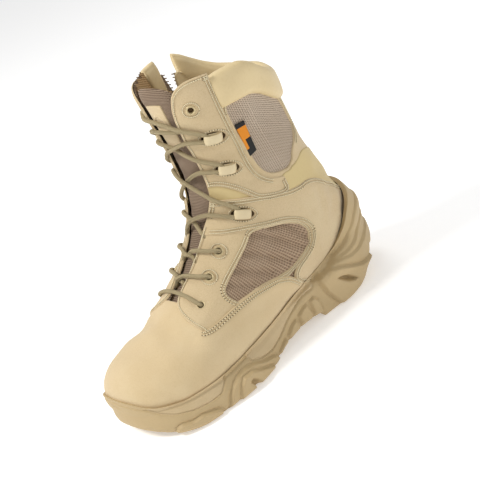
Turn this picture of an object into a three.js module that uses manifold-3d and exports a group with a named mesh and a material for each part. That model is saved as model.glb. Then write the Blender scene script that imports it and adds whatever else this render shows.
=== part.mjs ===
// Combat boot, left foot: laced desert boot with a moulded lug sole, padded collar and inner side zip.
// Millimetres. +Z up, toe towards -Y, heel towards +Y, outer side of the foot towards +X.
// The origin is on the floor, under the middle of the boot's outline.
import * as THREE from "three";
import { mergeVertices } from "three/addons/utils/BufferGeometryUtils.js";
import Module from "manifold-3d";

const wasm = await Module();
wasm.setup();

// ---------------------------------------------------------------- driving sizes
const WALL = 2.6; // upper leather with its lining
const GAP = 0.3; // between pieces that touch
const RAND = 3.4; // how far the sole's upper edge stands out round the leather
const HEEL_CUP = 9; // and how much more it does behind the heel
const TREAD_DEPTH = 4.5; // from the floor to the web between the lugs
const COLLAR_DEPTH = 29; // padded roll, from its top down to its seam
const TONGUE_THICKNESS = 4.5;
const TONGUE_TOP = 258;
const TONGUE_OVERLAP = 11; // degrees of tongue under each facing
const LACE_RADIUS = 1.9;
// The tables are laid out from the middle of the foot. The outline's own middle is a little off it.
const OUTLINE_CENTRE = { x: 0.76, y: 16.55 };

// ---------------------------------------------------------------- curves and tables
// A smooth line through [x, y] points with rising x. It never overshoots, and level stays level.
function curve(points) {
  const last = points.length - 1;
  const rise = points.slice(1).map((p, i) => (p[1] - points[i][1]) / (p[0] - points[i][0]));
  const slope = points.map((_, i) => {
    const before = rise[Math.max(0, i - 1)];
    const after = rise[Math.min(last - 1, i)];
    return before * after <= 0 ? 0 : (2 * before * after) / (before + after);
  });
  return (x) => {
    if (x <= points[0][0]) return points[0][1];
    if (x >= points[last][0]) return points[last][1];
    let i = 0;
    while (x > points[i + 1][0]) i++;
    const width = points[i + 1][0] - points[i][0];
    const t = (x - points[i][0]) / width;
    const blend = t * t * (3 - 2 * t);
    const bend = t * (1 - t) * ((1 - t) * slope[i] - t * slope[i + 1]);
    return points[i][1] + (points[i + 1][1] - points[i][1]) * blend + width * bend;
  };
}

// Named rows from a line of column names and rows of numbers.
function table(names, rows) {
  const keys = names.split(" ");
  return rows.map((row) => Object.fromEntries(keys.map((key, i) => [key, row[i]])));
}

// One curve for each column of a table, against its first column.
function columns(rows) {
  const names = Object.keys(rows[0]);
  const key = names[0];
  return Object.fromEntries(
    names.slice(1).map((name) => [name, curve(rows.map((row) => [row[key], row[name]]))]),
  );
}

function steps(from, to, count) {
  return Array.from({ length: count + 1 }, (_, i) => from + ((to - from) * i) / count);
}

// ---------------------------------------------------------------- the last
// One row for each section, from the toe to the collar. A section is a slice that fans round the
// ankle: it stands upright at the toe and lies nearly flat at the collar. In side view its ends are
// the front point (frontY, frontZ) and the back point (backY, backZ), at first under the foot.
// ridge and keel: x of those two points. outer and inner: half widths. widest: where the section is
// widest, as a share of the way from back to front. Powers: 2 is round, more is squarer.
const LAST = table(
  "row frontY frontZ backY backZ ridge keel outer inner widest frontPower backPower",
  [
    [0, -135, 36, -135, 33, -10, -10, 2, 2, 0.5, 2, 2],
    [1, -132.5, 46, -132.5, 24, -10, -10, 22, 19, 0.45, 2.1, 2.6],
    [2, -126.5, 53, -126.5, 20, -10, -9, 34, 30, 0.42, 2.1, 3],
    [3, -114, 60, -115, 18, -9, -8, 43, 40, 0.38, 2.1, 3.4],
    [4, -93, 66, -95, 17, -7, -5, 50, 46, 0.34, 2.1, 3.6],
    [5, -69, 74, -70, 17, -5, -2, 52, 47, 0.31, 2.1, 3.6],
    [6, -46, 86, -36, 18, -3, 0, 50, 45, 0.29, 2.1, 3.4],
    [7, -24, 103, 6, 22, -2, 2, 46, 42, 0.3, 2.1, 3],
    [8, -6, 122, 54, 28, -1, 2, 43, 41, 0.35, 2.1, 2.8],
    [9, 6, 141, 106, 33, -1, 1, 43, 42, 0.4, 2.1, 2.6],
    [10, 12, 160, 143, 42, -1, 0, 43, 42, 0.45, 2.2, 2.2],
    [11, 14, 177, 155.5, 65, -1, 0, 43, 42, 0.47, 2.2, 2.1],
    [12, 14, 193, 147.5, 95, -1, -1, 43, 43, 0.48, 2.2, 2],
    [13, 13, 209, 139, 125, -1, -1, 44, 44, 0.48, 2.2, 2],
    [14, 11, 225, 131.5, 155, -1, -1, 45, 45, 0.48, 2.2, 2],
    [15, 9, 243, 128, 186, -1, -1, 46.5, 47, 0.48, 2.2, 2],
    [16, 6, 265, 127, 219, -1, -1, 48, 49, 0.48, 2.2, 2],
    [17, 4, 286, 128, 250, -1, -1, 49, 50, 0.48, 2.2, 2],
  ],
);
const LAST_END = LAST.length - 1;
const last = columns(LAST);

// A point of the last at a row number and an angle in degrees round the section: 0 in front,
// 90 on the outer side, 180 behind or underneath, 270 on the inner side.
function onLast(row, degrees) {
  const angle = (degrees * Math.PI) / 180;
  const across = Math.sin(angle);
  const along = Math.cos(angle);
  const power = 2 / (along > 0 ? last.frontPower(row) : last.backPower(row));
  const half = across > 0 ? last.outer(row) : last.inner(row);
  const widest = last.widest(row);
  const reach = along > 0 ? 1 - widest : widest;
  const height = widest + reach * Math.sign(along) * Math.abs(along) ** power;
  return new THREE.Vector3(
    THREE.MathUtils.lerp(last.keel(row), last.ridge(row), height) +
      half * Math.sign(across) * Math.abs(across) ** power,
    THREE.MathUtils.lerp(last.backY(row), last.frontY(row), height),
    THREE.MathUtils.lerp(last.backZ(row), last.frontZ(row), height),
  );
}

function lastNormal(row, degrees) {
  const before = Math.max(0.02, row - 0.02);
  const after = Math.min(LAST_END, row + 0.02);
  const upward = onLast(after, degrees).sub(onLast(before, degrees));
  const round = onLast(row, degrees + 1.5).sub(onLast(row, degrees - 1.5));
  return round.cross(upward).normalize();
}

// A point that stands off the last by an offset, outwards when it is positive.
function skin(row, degrees, offset = 0) {
  return onLast(row, degrees).addScaledVector(lastNormal(row, degrees), offset);
}

// ---------------------------------------------------------------- solids
// Triangles that close a stack of rings, each with the same even number of points. An end cap joins
// the points of its ring in pairs, first to last, so thin curved rings close cleanly.
function loft(rings) {
  const size = rings[0].length;
  const points = rings.flat();
  const faces = [];
  const quad = (a, b, c, d) => faces.push([a, b, c], [a, c, d]);
  for (let r = 0; r < rings.length - 1; r++) {
    for (let i = 0; i < size; i++) {
      const j = (i + 1) % size;
      quad(r * size + i, r * size + j, (r + 1) * size + j, (r + 1) * size + i);
    }
  }
  const end = (rings.length - 1) * size;
  for (let i = 0; i < size / 2 - 1; i++) {
    quad(size - 1 - i, size - 2 - i, i + 1, i);
    quad(end + i, end + i + 1, end + size - 2 - i, end + size - 1 - i);
  }
  return closed(points, faces);
}

// A manifold solid from points and triangles, turned so that its faces point out.
function closed(points, faces) {
  let volume = 0;
  for (const [a, b, c] of faces) volume += points[a].dot(points[b].clone().cross(points[c]));
  const order = volume > 0 ? faces : faces.map(([a, b, c]) => [a, c, b]);
  const geometry = new THREE.BufferGeometry().setFromPoints(points);
  geometry.setIndex(order.flat());
  return solid(geometry);
}

function solid(geometry) {
  const bare = geometry.clone();
  bare.deleteAttribute("normal");
  bare.deleteAttribute("uv");
  const merged = mergeVertices(bare, 1e-4);
  const index = merged.index.array;
  const kept = [];
  for (let i = 0; i < index.length; i += 3) {
    const [a, b, c] = [index[i], index[i + 1], index[i + 2]];
    if (a !== b && b !== c && c !== a) kept.push(a, b, c);
  }
  return new wasm.Manifold(
    new wasm.Mesh({
      numProp: 3,
      vertProperties: new Float32Array(merged.attributes.position.array),
      triVerts: new Uint32Array(kept),
    }),
  );
}

function geometryOf(manifold) {
  const mesh = manifold.getMesh();
  const geometry = new THREE.BufferGeometry();
  geometry.setAttribute("position", new THREE.BufferAttribute(mesh.vertProperties, 3));
  geometry.setIndex(new THREE.BufferAttribute(mesh.triVerts, 1));
  geometry.computeVertexNormals();
  return geometry;
}

const join = (solids) => solids.reduce((sum, next) => sum.add(next));

// The whole last as a solid, grown by an offset at the toe and by more where extra says so.
function lastSolid(offset, rowCount, sideCount, extra = () => 0) {
  const toe = new THREE.Vector3(LAST[0].ridge, LAST[0].frontY - offset, 34.5);
  const firstRow = offset < 0 ? 0.7 : 0.35;
  const rings = [Array(sideCount).fill(toe)];
  for (const t of steps(0, 1, rowCount)) {
    const row = firstRow + (LAST_END - firstRow) * t ** 1.15;
    const angles = steps(0, 360, sideCount).slice(0, -1);
    rings.push(angles.map((angle) => skin(row, angle, offset + extra(row, angle))));
  }
  return loft(rings);
}

// A curved plate on the last, between two rows, two angles and two offsets. The angles and the
// offsets may be functions of the row.
function plate({ rows, from, to, low, high, rowCount, angleCount }) {
  const value = (item, row) => (typeof item === "function" ? item(row) : item);
  return loft(
    steps(rows[0], rows[1], rowCount).map((row) => {
      const angles = steps(value(from, row), value(to, row), angleCount);
      const outside = angles.map((angle) => skin(row, angle, value(high, row)));
      const inside = angles.map((angle) => skin(row, angle, value(low, row)));
      return [...outside, ...inside.reverse()];
    }),
  );
}

// A slab whose plan and thickness change along Y. Each section has an inner and outer x and a
// low and high z.
function slab(stations, section) {
  return loft(
    stations.map((y) => {
      const { inner, outer, low, high } = section(y);
      return [
        new THREE.Vector3(inner, y, low),
        new THREE.Vector3(outer, y, low),
        new THREE.Vector3(outer, y, high),
        new THREE.Vector3(inner, y, high),
      ];
    }),
  );
}

function cylinder(radius, height, sides) {
  const geometry = new THREE.CylinderGeometry(radius, radius, height, sides);
  return geometry.rotateX(Math.PI / 2);
}

// A round cord along points.
function cord(points, radius, sides, stepCount) {
  const section = new THREE.Shape(
    steps(0, 2 * Math.PI, sides)
      .slice(0, -1)
      .map((angle) => new THREE.Vector2(radius * Math.cos(angle), radius * Math.sin(angle))),
  );
  const extrudePath = new THREE.CatmullRomCurve3(points);
  return solid(new THREE.ExtrudeGeometry(section, { steps: stepCount, extrudePath }));
}

// ---------------------------------------------------------------- sole tables
// The outline of the tread, seen from above: outer and inner are x. under: the floor clearance of
// the tread. wall: the height of the sole's thick side wall, which leans in by slope. tuck: how far
// the foot of the heel block stands back under the bulge.
const SOLE = table(
  "y outer inner under wall slope tuck",
  [
    [-137.5, -4, -14, 14, 33, 2, 0],
    [-136, 9, -24, 12.5, 33, 2, 0],
    [-132, 21, -34, 10, 31, 2, 0],
    [-125, 33, -42, 6.5, 29, 2, 0],
    [-113.5, 44.5, -48.5, 2.5, 26, 2.5, 0],
    [-95, 53, -52, 0, 25, 3, 0],
    [-70, 57, -53, 0, 25, 3, 0],
    [-45, 57, -48, 0, 26, 3, 0],
    [-14, 52, -39, 0, 28, 2.5, 0],
    [10, 47.5, -35, 6, 30, 1, 0],
    [36, 45, -34, 8, 33, 0, 0],
    [58, 45, -36, 6, 36, 0, 0],
    [64, 45, -37, 0, 37, 0, 0],
    [90, 46, -41, 0, 42, 1, 0],
    [108, 45, -42, 0, 47, 2, 2],
    [120, 43.5, -41, 0, 52, 3, 6],
    [128, 41, -39, 0, 56, 4, 9],
    [135, 38, -36.5, 0, 59, 5, 12.5],
    [140, 35.5, -34, 3, 60, 5, 16],
    [144, 33, -31.5, 12, 60, 5, 17],
    [147, 31, -29.5, 15, 60, 5, 8],
    [154, 26, -25, 18, 60, 5, 0],
    [161, 20, -19.5, 22, 58, 5, 0],
    [167, 12.5, -12.5, 26, 54, 4, 0],
    [170.5, 6, -6.5, 31, 49, 3, 0],
    [171.5, 3, -3.5, 34, 46, 2, 0],
  ],
);
const sole = columns(SOLE);
const SOLE_STATIONS = [
  -137.5, -137, -136, -134, -132, -128, -125, -120, -113.5, -105, -95, -83, -70, -45, -30, -14, -2,
  10, 23, 36, 48, 58, 64, 90, 99, 108, 120, 128, 135, 140, 144, 147, 154, 161, 167, 170.5, 171.5,
];

// The line where the sole's upper edge meets the leather.
const TOP_LINE = table("y z", [
  [-160, 41], [-138, 40], [-131, 35.5], [-123, 31.5], [-99, 28], [-70, 28], [-30, 31], [10, 35],
  [54, 42], [80, 46], [100, 51], [116, 61], [130, 75], [142, 86], [152, 91], [175, 93],
]);
const topLine = columns(TOP_LINE).z;
const TOP_STATIONS = [
  -160, -139, -131, -123, -110, -90, -60, -20, 15, 54, 80, 96, 107, 118, 130, 142, 152, 175,
];

// The tops of the upper and of the collar, in side view. The inner side is higher by RIM_TILT.
const RIM = table("y z", [
  [-10, 240], [8, 243], [18, 249], [32, 254], [55, 257], [72, 256], [84, 251], [94, 243],
  [104, 235], [114, 229], [124, 226], [150, 225],
]);
const RIM_TILT = 0.1;
const rim = columns(RIM).z;
const RIM_STATIONS = [-20, 8, 18, 32, 55, 70, 80, 88, 95, 102, 110, 118, 128, 170];
const FAR = 80; // beyond the boot on either side

function below(stations, height) {
  return slab(stations, (y) => ({ inner: -FAR, outer: FAR, low: -20, high: height(y) }));
}

// Everything above the rim, or above a line that follows it further down.
function aboveRim(drop) {
  return loft(
    RIM_STATIONS.map((y) => {
      const low = rim(y) - drop;
      const tilt = RIM_TILT * FAR;
      return [
        new THREE.Vector3(-FAR, y, low + tilt),
        new THREE.Vector3(FAR, y, low - tilt),
        new THREE.Vector3(FAR, y, 340),
        new THREE.Vector3(-FAR, y, 340),
      ];
    }),
  );
}

// ---------------------------------------------------------------- shared forms
const ROWS = 22;
const SIDES = 24;
const leather = lastSolid(0, ROWS, SIDES);
const lining = lastSolid(-WALL, ROWS - 2, SIDES - 4);
const hugged = lastSolid(GAP, ROWS, SIDES);
const inside = lastSolid(-WALL - GAP, ROWS - 2, SIDES - 4);

// ---------------------------------------------------------------- sole
// Side windows where the softer midsole shows: the stretch along Y and how deep each one dips
// below the top line.
const WINDOWS = [
  { name: "toe", from: -131, to: -72, dip: 8 },
  { name: "waist", from: -42, to: 58, dip: 10 },
];

function windowPrism(side, { from, to, dip }, grow) {
  const stations = steps(from - grow, to + grow, 8);
  return slab(stations, (y) => {
    const share = (y - from + grow) / (to - from + 2 * grow);
    const low = topLine(y) - 0.4 - (dip + grow) * Math.sin(Math.PI * share) ** 0.7;
    return { inner: side > 0 ? 22 : -FAR, outer: side > 0 ? FAR : -22, low, high: 70 };
  });
}

function windowPrisms(grow) {
  return join(WINDOWS.flatMap((item) => [1, -1].map((side) => windowPrism(side, item, grow))));
}

// The side notches between the edge lugs: place along Y, width and height.
const NOTCHES = [
  { y: -111, width: 7, height: 11 }, { y: -84, width: 6, height: 9 }, { y: -50, width: 7, height: 10 },
  { y: -27, width: 5, height: 9 }, { y: -10, width: 5, height: 9 }, { y: 12, width: 5, height: 12 },
  { y: 32, width: 5, height: 13 }, { y: 50, width: 5, height: 13 }, { y: 76, width: 5, height: 9 },
  { y: 108, width: 6, height: 11 },
];
const NOTCH_DEPTH = 11;

function notches() {
  const cuts = NOTCHES.flatMap(({ y, width, height }) =>
    [1, -1].map((side) => {
      const edge = side > 0 ? sole.outer(y) : sole.inner(y);
      const wedge = new THREE.CylinderGeometry(width * 0.35, width, height * 2, 4, 1);
      wedge.rotateY(Math.PI / 4);
      wedge.rotateX(Math.PI / 2);
      wedge.scale((2 * NOTCH_DEPTH) / width, 1, 1);
      return solid(wedge.translate(edge, y, 0));
    }),
  );
  return join(cuts);
}

// Round tread studs inside the edge lugs: the place of each centre and its radius.
const STUDS = [
  { x: -8, y: -124, radius: 6 }, { x: 16, y: -112, radius: 6 }, { x: -28, y: -108, radius: 6 },
  { x: -6, y: -100, radius: 8 }, { x: 26, y: -88, radius: 7 }, { x: -31, y: -82, radius: 7 },
  { x: -2, y: -76, radius: 8 }, { x: 30, y: -62, radius: 7 }, { x: -27, y: -56, radius: 6 },
  { x: 3, y: -50, radius: 8 }, { x: 29, y: -36, radius: 6 }, { x: -10, y: -32, radius: 6 },
  { x: 10, y: 92, radius: 8 }, { x: -13, y: 84, radius: 7 }, { x: -9, y: 108, radius: 8 },
  { x: 12, y: 116, radius: 6 },
];
const POCKETS = [
  { from: -132, to: -18 },
  { from: 74, to: 128 },
];
const LUG_BAND = 13; // width of the ring of edge lugs

function tread() {
  const pockets = POCKETS.map(({ from, to }) =>
    slab(steps(from, to, 8), (y) => {
      const share = Math.min(y - from, to - y) / LUG_BAND;
      const tuck = LUG_BAND + 12 * Math.max(0, 1 - share) ** 2;
      return {
        inner: Math.min(sole.inner(y) + tuck, -2),
        outer: Math.max(sole.outer(y) - tuck, 2),
        low: -5,
        high: sole.under(y) + TREAD_DEPTH,
      };
    }),
  );
  return join(pockets);
}

function studs() {
  return join(
    STUDS.map(({ x, y, radius }) => {
      const low = sole.under(y);
      const stud = cylinder(radius, TREAD_DEPTH + 2, 8);
      return solid(stud.translate(x, y, low + (TREAD_DEPTH + 2) / 2));
    }),
  );
}

// How much thicker the sole's edge is where it climbs the back of the heel.
function heelCup(row, degrees) {
  const behind = Math.max(0, -Math.cos((degrees * Math.PI) / 180));
  const low = THREE.MathUtils.smoothstep(row, 8.8, 10.2);
  const high = 1 - 0.6 * THREE.MathUtils.smoothstep(row, 10.6, 12);
  return HEEL_CUP * behind * low * high;
}

// The sole before anything is cut out of it: a thick slab with sloping side walls, and an edge that
// climbs the leather to the top line.
function wholeSole() {
  const block = loft(
    SOLE_STATIONS.map((y) => {
      const [outer, inner, low] = [sole.outer(y), sole.inner(y), sole.under(y)];
      const high = sole.wall(y);
      const bevel = Math.min(3, (outer - inner) * 0.2);
      const slope = sole.slope(y);
      const tuck = sole.tuck(y);
      const profile = [
        { inset: bevel + tuck, z: low }, { inset: tuck, z: low + 4 },
        { inset: 0, z: Math.max(low + 7, 16) }, { inset: slope * 0.6, z: high - 5 },
        { inset: slope + bevel * 0.5, z: high },
      ];
      return [
        ...profile.map(({ inset, z }) => new THREE.Vector3(inner + inset, y, z)),
        ...profile.reverse().map(({ inset, z }) => new THREE.Vector3(outer - inset, y, z)),
      ];
    }),
  );
  const cup = lastSolid(RAND, ROWS, SIDES, heelCup);
  return block.add(cup.intersect(below(TOP_STATIONS, topLine)));
}

// The cushion inside the sole, under the whole foot.
const CORE_INSET = 9;
const CORE_FLOOR = 11;
const CORE_TOP = 42;

function core(grow) {
  return slab(SOLE_STATIONS.slice(5, -7), (y) => ({
    inner: sole.inner(y) + CORE_INSET - grow,
    outer: sole.outer(y) - CORE_INSET + grow,
    low: CORE_FLOOR + sole.under(y) * 0.4 - grow,
    high: Math.min(topLine(y) - 2, CORE_TOP) + grow,
  }));
}

const soleForm = wholeSole().subtract(hugged);

function outsole() {
  const body = soleForm.subtract(windowPrisms(GAP)).subtract(core(GAP));
  return body.subtract(tread()).subtract(notches()).add(studs());
}

function midsole() {
  const cushion = core(0).subtract(hugged);
  const shown = soleForm.intersect(windowPrisms(0)).subtract(notches());
  return cushion.add(shown);
}

// ---------------------------------------------------------------- upper
// Half the angle of the throat, in degrees, against the row number.
const THROAT = table("row angle", [
  [5.7, 5], [6.4, 7], [7, 8.5], [8, 12.5], [9, 18], [10, 21], [11.6, 21.5], [13, 19], [14, 21],
  [14.7, 23], [15.2, 27], [16, 34], [17, 40],
]);
const throat = columns(THROAT).angle;
const THROAT_START = THROAT[0].row;

// The facings end, and the padded collar begins, at these angles.
const FACING_END = 66;
const ZIP_ANGLE = 270;
const ZIP_START = 9.5;
const ZIP_TOP = 14.55; // where the slider stands

// Lace holes, from the toe up. A punched hole has an eyelet, the others carry a leather loop.
const LACING = [
  { name: "1", row: 6.1, angle: 35, kind: "eyelet" },
  { name: "2", row: 7, angle: 33, kind: "eyelet" },
  { name: "3", row: 7.9, angle: 34, kind: "eyelet" },
  { name: "4", row: 9.45, angle: 46, kind: "loop" },
  { name: "5", row: 11.6, angle: 46, kind: "loop" },
  { name: "6", row: 13.35, angle: 48, kind: "loop" },
  { name: "7", row: 14.85, angle: 42, kind: "eyelet" },
];
const EYELET_BORE = 2.3;
const EYELET_BARREL = 3.1;
const EYELET_RIM = 4.7;
const sideAngle = (side, angle) => (side > 0 ? angle : 360 - angle);

// Turns a piece that stands on the XY plane so that its +Z is the skin's normal and its +Y runs
// up the boot, and moves it there.
function placeOnSkin(row, degrees, offset) {
  const normal = lastNormal(row, degrees);
  const upward = onLast(row + 0.1, degrees).sub(onLast(row - 0.1, degrees));
  const across = upward.cross(normal).normalize();
  const along = normal.clone().cross(across);
  const matrix = new THREE.Matrix4().makeBasis(across, along, normal);
  return matrix.setPosition(skin(row, degrees, offset));
}

function eyeletHoles() {
  const holes = LACING.filter((item) => item.kind === "eyelet").flatMap((item) =>
    [1, -1].map((side) => {
      const hole = cylinder(EYELET_BARREL + GAP, 16, 8);
      return solid(hole.applyMatrix4(placeOnSkin(item.row, sideAngle(side, item.angle), 0)));
    }),
  );
  return join(holes);
}

function zipSlot(grow) {
  const halfAngle = (row) => 6.2 + grow + Math.max(0, row - ZIP_TOP) * 2.6;
  return plate({
    rows: [ZIP_START - grow * 0.03, LAST_END], from: (row) => ZIP_ANGLE - halfAngle(row),
    to: (row) => ZIP_ANGLE + halfAngle(row), low: -12, high: 12, rowCount: 10, angleCount: 2,
  });
}

// The padded roll takes the place of the leather from its seam up.
function collarCut() {
  const zone = plate({
    rows: [13.4, LAST_END], from: FACING_END, to: 360 - FACING_END, low: -14, high: 14,
    rowCount: 4, angleCount: 20,
  });
  return zone.intersect(aboveRim(COLLAR_DEPTH));
}

const BED_INSET = 13;

function upper() {
  const bed = slab(SOLE_STATIONS.slice(7, -6), (y) => ({
    inner: sole.inner(y) + BED_INSET,
    outer: sole.outer(y) - BED_INSET,
    low: 2,
    high: THREE.MathUtils.clamp(21 + (y + 96) * 0.098, 21, 44),
  }));
  const opening = plate({
    rows: [THROAT_START, LAST_END], from: (row) => -throat(row), to: (row) => throat(row),
    low: -12, high: 12, rowCount: 12, angleCount: 6,
  });
  return leather
    .subtract(lining)
    .subtract(aboveRim(0))
    .subtract(opening)
    .subtract(bed)
    .subtract(collarCut())
    .subtract(zipSlot(0))
    .subtract(eyeletHoles());
}

// ---------------------------------------------------------------- soft pieces
function insole() {
  const top = (y) => THREE.MathUtils.clamp(25 + (y + 96) * 0.098, 25, 47);
  return inside.intersect(below(steps(-160, 160, 12), top));
}

const COLLAR_OUT = 4; // how far the roll stands out of the leather, and into the boot
const COLLAR_IN = -8;

function collar(from, to, angleCount) {
  const roll = plate({
    rows: [13, LAST_END], from, to, low: COLLAR_IN, high: COLLAR_OUT, rowCount: 14, angleCount,
  });
  return roll.intersect(aboveRim(COLLAR_DEPTH - GAP)).subtract(aboveRim(0));
}

function tongue() {
  const shape = plate({
    rows: [THROAT_START - 0.35, LAST_END],
    from: (row) => -throat(row) - TONGUE_OVERLAP,
    to: (row) => throat(row) + TONGUE_OVERLAP,
    low: -WALL - GAP - TONGUE_THICKNESS, high: 0, rowCount: 18, angleCount: 10,
  });
  const cap = below([-60, 45], () => TONGUE_TOP);
  return shape.intersect(inside).intersect(cap);
}

// ---------------------------------------------------------------- lacing
function eyelet(side, { row, angle }) {
  const profile = [
    [EYELET_BORE, -WALL], [EYELET_BARREL, -WALL], [EYELET_BARREL, GAP], [EYELET_RIM, GAP],
    [EYELET_RIM - 0.8, 1.3], [EYELET_BORE, 0.9], [EYELET_BORE, -WALL],
  ].map(([x, z]) => new THREE.Vector2(x, z));
  const ring = new THREE.LatheGeometry(profile, 8).rotateX(Math.PI / 2);
  return solid(ring.applyMatrix4(placeOnSkin(row, sideAngle(side, angle), 0)));
}

// A folded strap that stands up from the facing, open along the boot's height for the lace.
const LOOP_LENGTH = 15;
const LOOP_RISE = 6.4;
const LOOP_STRAP = 1.5;
const LOOP_WIDTH = 8;

function loopGeometry() {
  const half = LOOP_LENGTH / 2;
  const outline = new THREE.Shape();
  outline.moveTo(-half, 0);
  outline.lineTo(half, 0);
  outline.bezierCurveTo(half, LOOP_RISE, half * 0.6, LOOP_RISE, 0, LOOP_RISE);
  outline.bezierCurveTo(-half * 0.6, LOOP_RISE, -half, LOOP_RISE, -half, 0);
  const hole = new THREE.Path();
  const inner = half - LOOP_STRAP;
  const roof = LOOP_RISE - LOOP_STRAP;
  hole.moveTo(-inner, LOOP_STRAP * 0.7);
  hole.bezierCurveTo(-inner, roof, -inner * 0.6, roof, 0, roof);
  hole.bezierCurveTo(inner * 0.6, roof, inner, roof, inner, LOOP_STRAP * 0.7);
  outline.holes.push(hole);
  const thickness = { depth: LOOP_WIDTH, bevelEnabled: false, curveSegments: 4 };
  const geometry = new THREE.ExtrudeGeometry(outline, thickness);
  return geometry.translate(0, 0, -LOOP_WIDTH / 2).rotateX(Math.PI / 2).rotateZ(Math.PI);
}

function loop(side, { row, angle }) {
  const place = placeOnSkin(row, sideAngle(side, angle), GAP + 0.5);
  return solid(loopGeometry().applyMatrix4(place));
}

// A lace from one hole to another, over the throat. lift: its height over the leather midway.
function strand(from, to, lift) {
  const ease = (t) => t * t * (3 - 2 * t);
  const points = steps(0, 1, 8).map((t) => {
    const row = THREE.MathUtils.lerp(from.row, to.row, ease(t));
    const angle = THREE.MathUtils.lerp(from.angle, to.angle, t);
    return skin(row, angle, LACE_RADIUS + GAP + 0.6 + lift * Math.sin(Math.PI * t));
  });
  return cord(points, LACE_RADIUS, 6, 6);
}

const LACE_INSET = { eyelet: 8.5, loop: 14 }; // the strands start this many degrees short of a hole
const LACE_STEP = 0.24; // and this many rows past it

function crossing(lower, upperHole) {
  const reach = (item, side, rise) => {
    return { row: item.row + rise, angle: side * (item.angle - LACE_INSET[item.kind]) };
  };
  return strand(reach(lower, 1, LACE_STEP), reach(upperHole, -1, -LACE_STEP), 2).add(
    strand(reach(lower, -1, LACE_STEP), reach(upperHole, 1, -LACE_STEP), 2),
  );
}

function bar(item) {
  const angle = item.angle - LACE_INSET[item.kind];
  const end = (side) => ({ row: item.row - LACE_STEP, angle: side * angle });
  return strand(end(1), end(-1), 1.5);
}

// ---------------------------------------------------------------- zip
const CHAIN_LOW = -WALL;
const CHAIN_HIGH = 0.4;

function zipTape() {
  const half = (row) => 5.4 + Math.max(0, row - ZIP_TOP) * 2.6;
  const closedPart = plate({
    rows: [ZIP_START + 0.05, ZIP_TOP - 0.1], from: ZIP_ANGLE - 5.4, to: ZIP_ANGLE + 5.4,
    low: CHAIN_LOW, high: CHAIN_HIGH, rowCount: 10, angleCount: 2,
  });
  const arms = [-1, 1].map((side) =>
    plate({
      rows: [ZIP_TOP - 0.4, 15.9], from: (row) => ZIP_ANGLE + side * (half(row) - 3.4),
      to: (row) => ZIP_ANGLE + side * half(row), low: CHAIN_LOW, high: CHAIN_HIGH, rowCount: 4,
      angleCount: 1,
    }),
  );
  return join([closedPart, ...arms]);
}

// The slider's own axes: X across the zip, Y up the boot, Z out of it. The pull tab's top bar lies
// along X under the slider's round bail, at PIVOT_RISE over the chain, and is its hinge.
const SLIDER = { row: ZIP_TOP - 0.12, width: 9, height: 12, depth: 2.6 };
const PIVOT_RISE = 4.6;
const BAIL = { inner: 1.3, outer: 2.7, width: 1.8 };
const PULL = { width: 7, length: 24, thickness: 1.6, window: 4 };

function zipSlider() {
  const body = new THREE.BoxGeometry(SLIDER.width, SLIDER.height, SLIDER.depth);
  const arch = new THREE.Shape();
  arch.moveTo(BAIL.outer, 1.4 - PIVOT_RISE);
  arch.absarc(0, 0, BAIL.outer, 0, Math.PI, false);
  arch.lineTo(-BAIL.outer, 1.4 - PIVOT_RISE);
  arch.lineTo(-BAIL.inner, 1.4 - PIVOT_RISE);
  arch.absarc(0, 0, BAIL.inner, Math.PI, 0, true);
  arch.lineTo(BAIL.inner, 1.4 - PIVOT_RISE);
  const across = { depth: BAIL.width, bevelEnabled: false, curveSegments: 8 };
  const bail = new THREE.ExtrudeGeometry(arch, across);
  bail.translate(0, 0, -BAIL.width / 2).rotateX(Math.PI / 2).rotateZ(Math.PI / 2);
  return solid(body.translate(0, 0, SLIDER.depth / 2)).add(solid(bail.translate(0, 0, PIVOT_RISE)));
}

function zipPull() {
  const half = PULL.width / 2;
  const bar = PULL.thickness / 2;
  const outline = new THREE.Shape();
  outline.moveTo(-half, bar);
  outline.lineTo(-half, -PULL.length + half);
  outline.absarc(0, -PULL.length + half, half, Math.PI, 2 * Math.PI, false);
  outline.lineTo(half, bar);
  const opening = new THREE.Path();
  opening.moveTo(-half + 1.6, -bar);
  opening.lineTo(half - 1.6, -bar);
  opening.lineTo(half - 1.6, -bar - PULL.window);
  opening.lineTo(-half + 1.6, -bar - PULL.window);
  outline.holes.push(opening);
  const thickness = { depth: PULL.thickness, bevelEnabled: false, curveSegments: 8 };
  const tab = new THREE.ExtrudeGeometry(outline, thickness);
  return solid(tab.translate(0, 0, -PULL.thickness / 2));
}

// ---------------------------------------------------------------- assembly
const SAND = { color: "#d6c39a", roughness: 0.9, metalness: 0 };
const RUBBER = { color: "#c5ad7d", roughness: 0.75, metalness: 0 };
const MESH = { color: "#a08c77", roughness: 0.95, metalness: 0 };
const SMOOTH = { color: "#dcc697", roughness: 0.6, metalness: 0 };
const CORD = { color: "#c9b893", roughness: 0.9, metalness: 0 };
const METAL = { color: "#b9a983", roughness: 0.45, metalness: 0.6 };

const boot = new THREE.Group();
boot.position.set(-OUTLINE_CENTRE.x, -OUTLINE_CENTRE.y, 0);

const TRIM = 0.12; // facets flatter than this are merged

function addPart(name, form, look) {
  const trimmed = form.simplify(TRIM);
  const mesh = new THREE.Mesh(geometryOf(trimmed), new THREE.MeshStandardMaterial(look));
  mesh.name = name;
  boot.add(mesh);
  return mesh;
}

addPart("outsole", outsole(), RUBBER);
addPart("midsole", midsole(), RUBBER);
addPart("insole", insole(), MESH);
addPart("upper", upper(), SAND);
addPart("tongue", tongue(), MESH);
addPart("collar_rear", collar(FACING_END + 0.6, ZIP_ANGLE - 9.5, 22), SMOOTH);
addPart("collar_front", collar(ZIP_ANGLE + 9.5, 360 - FACING_END - 0.6, 3), SMOOTH);

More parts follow.
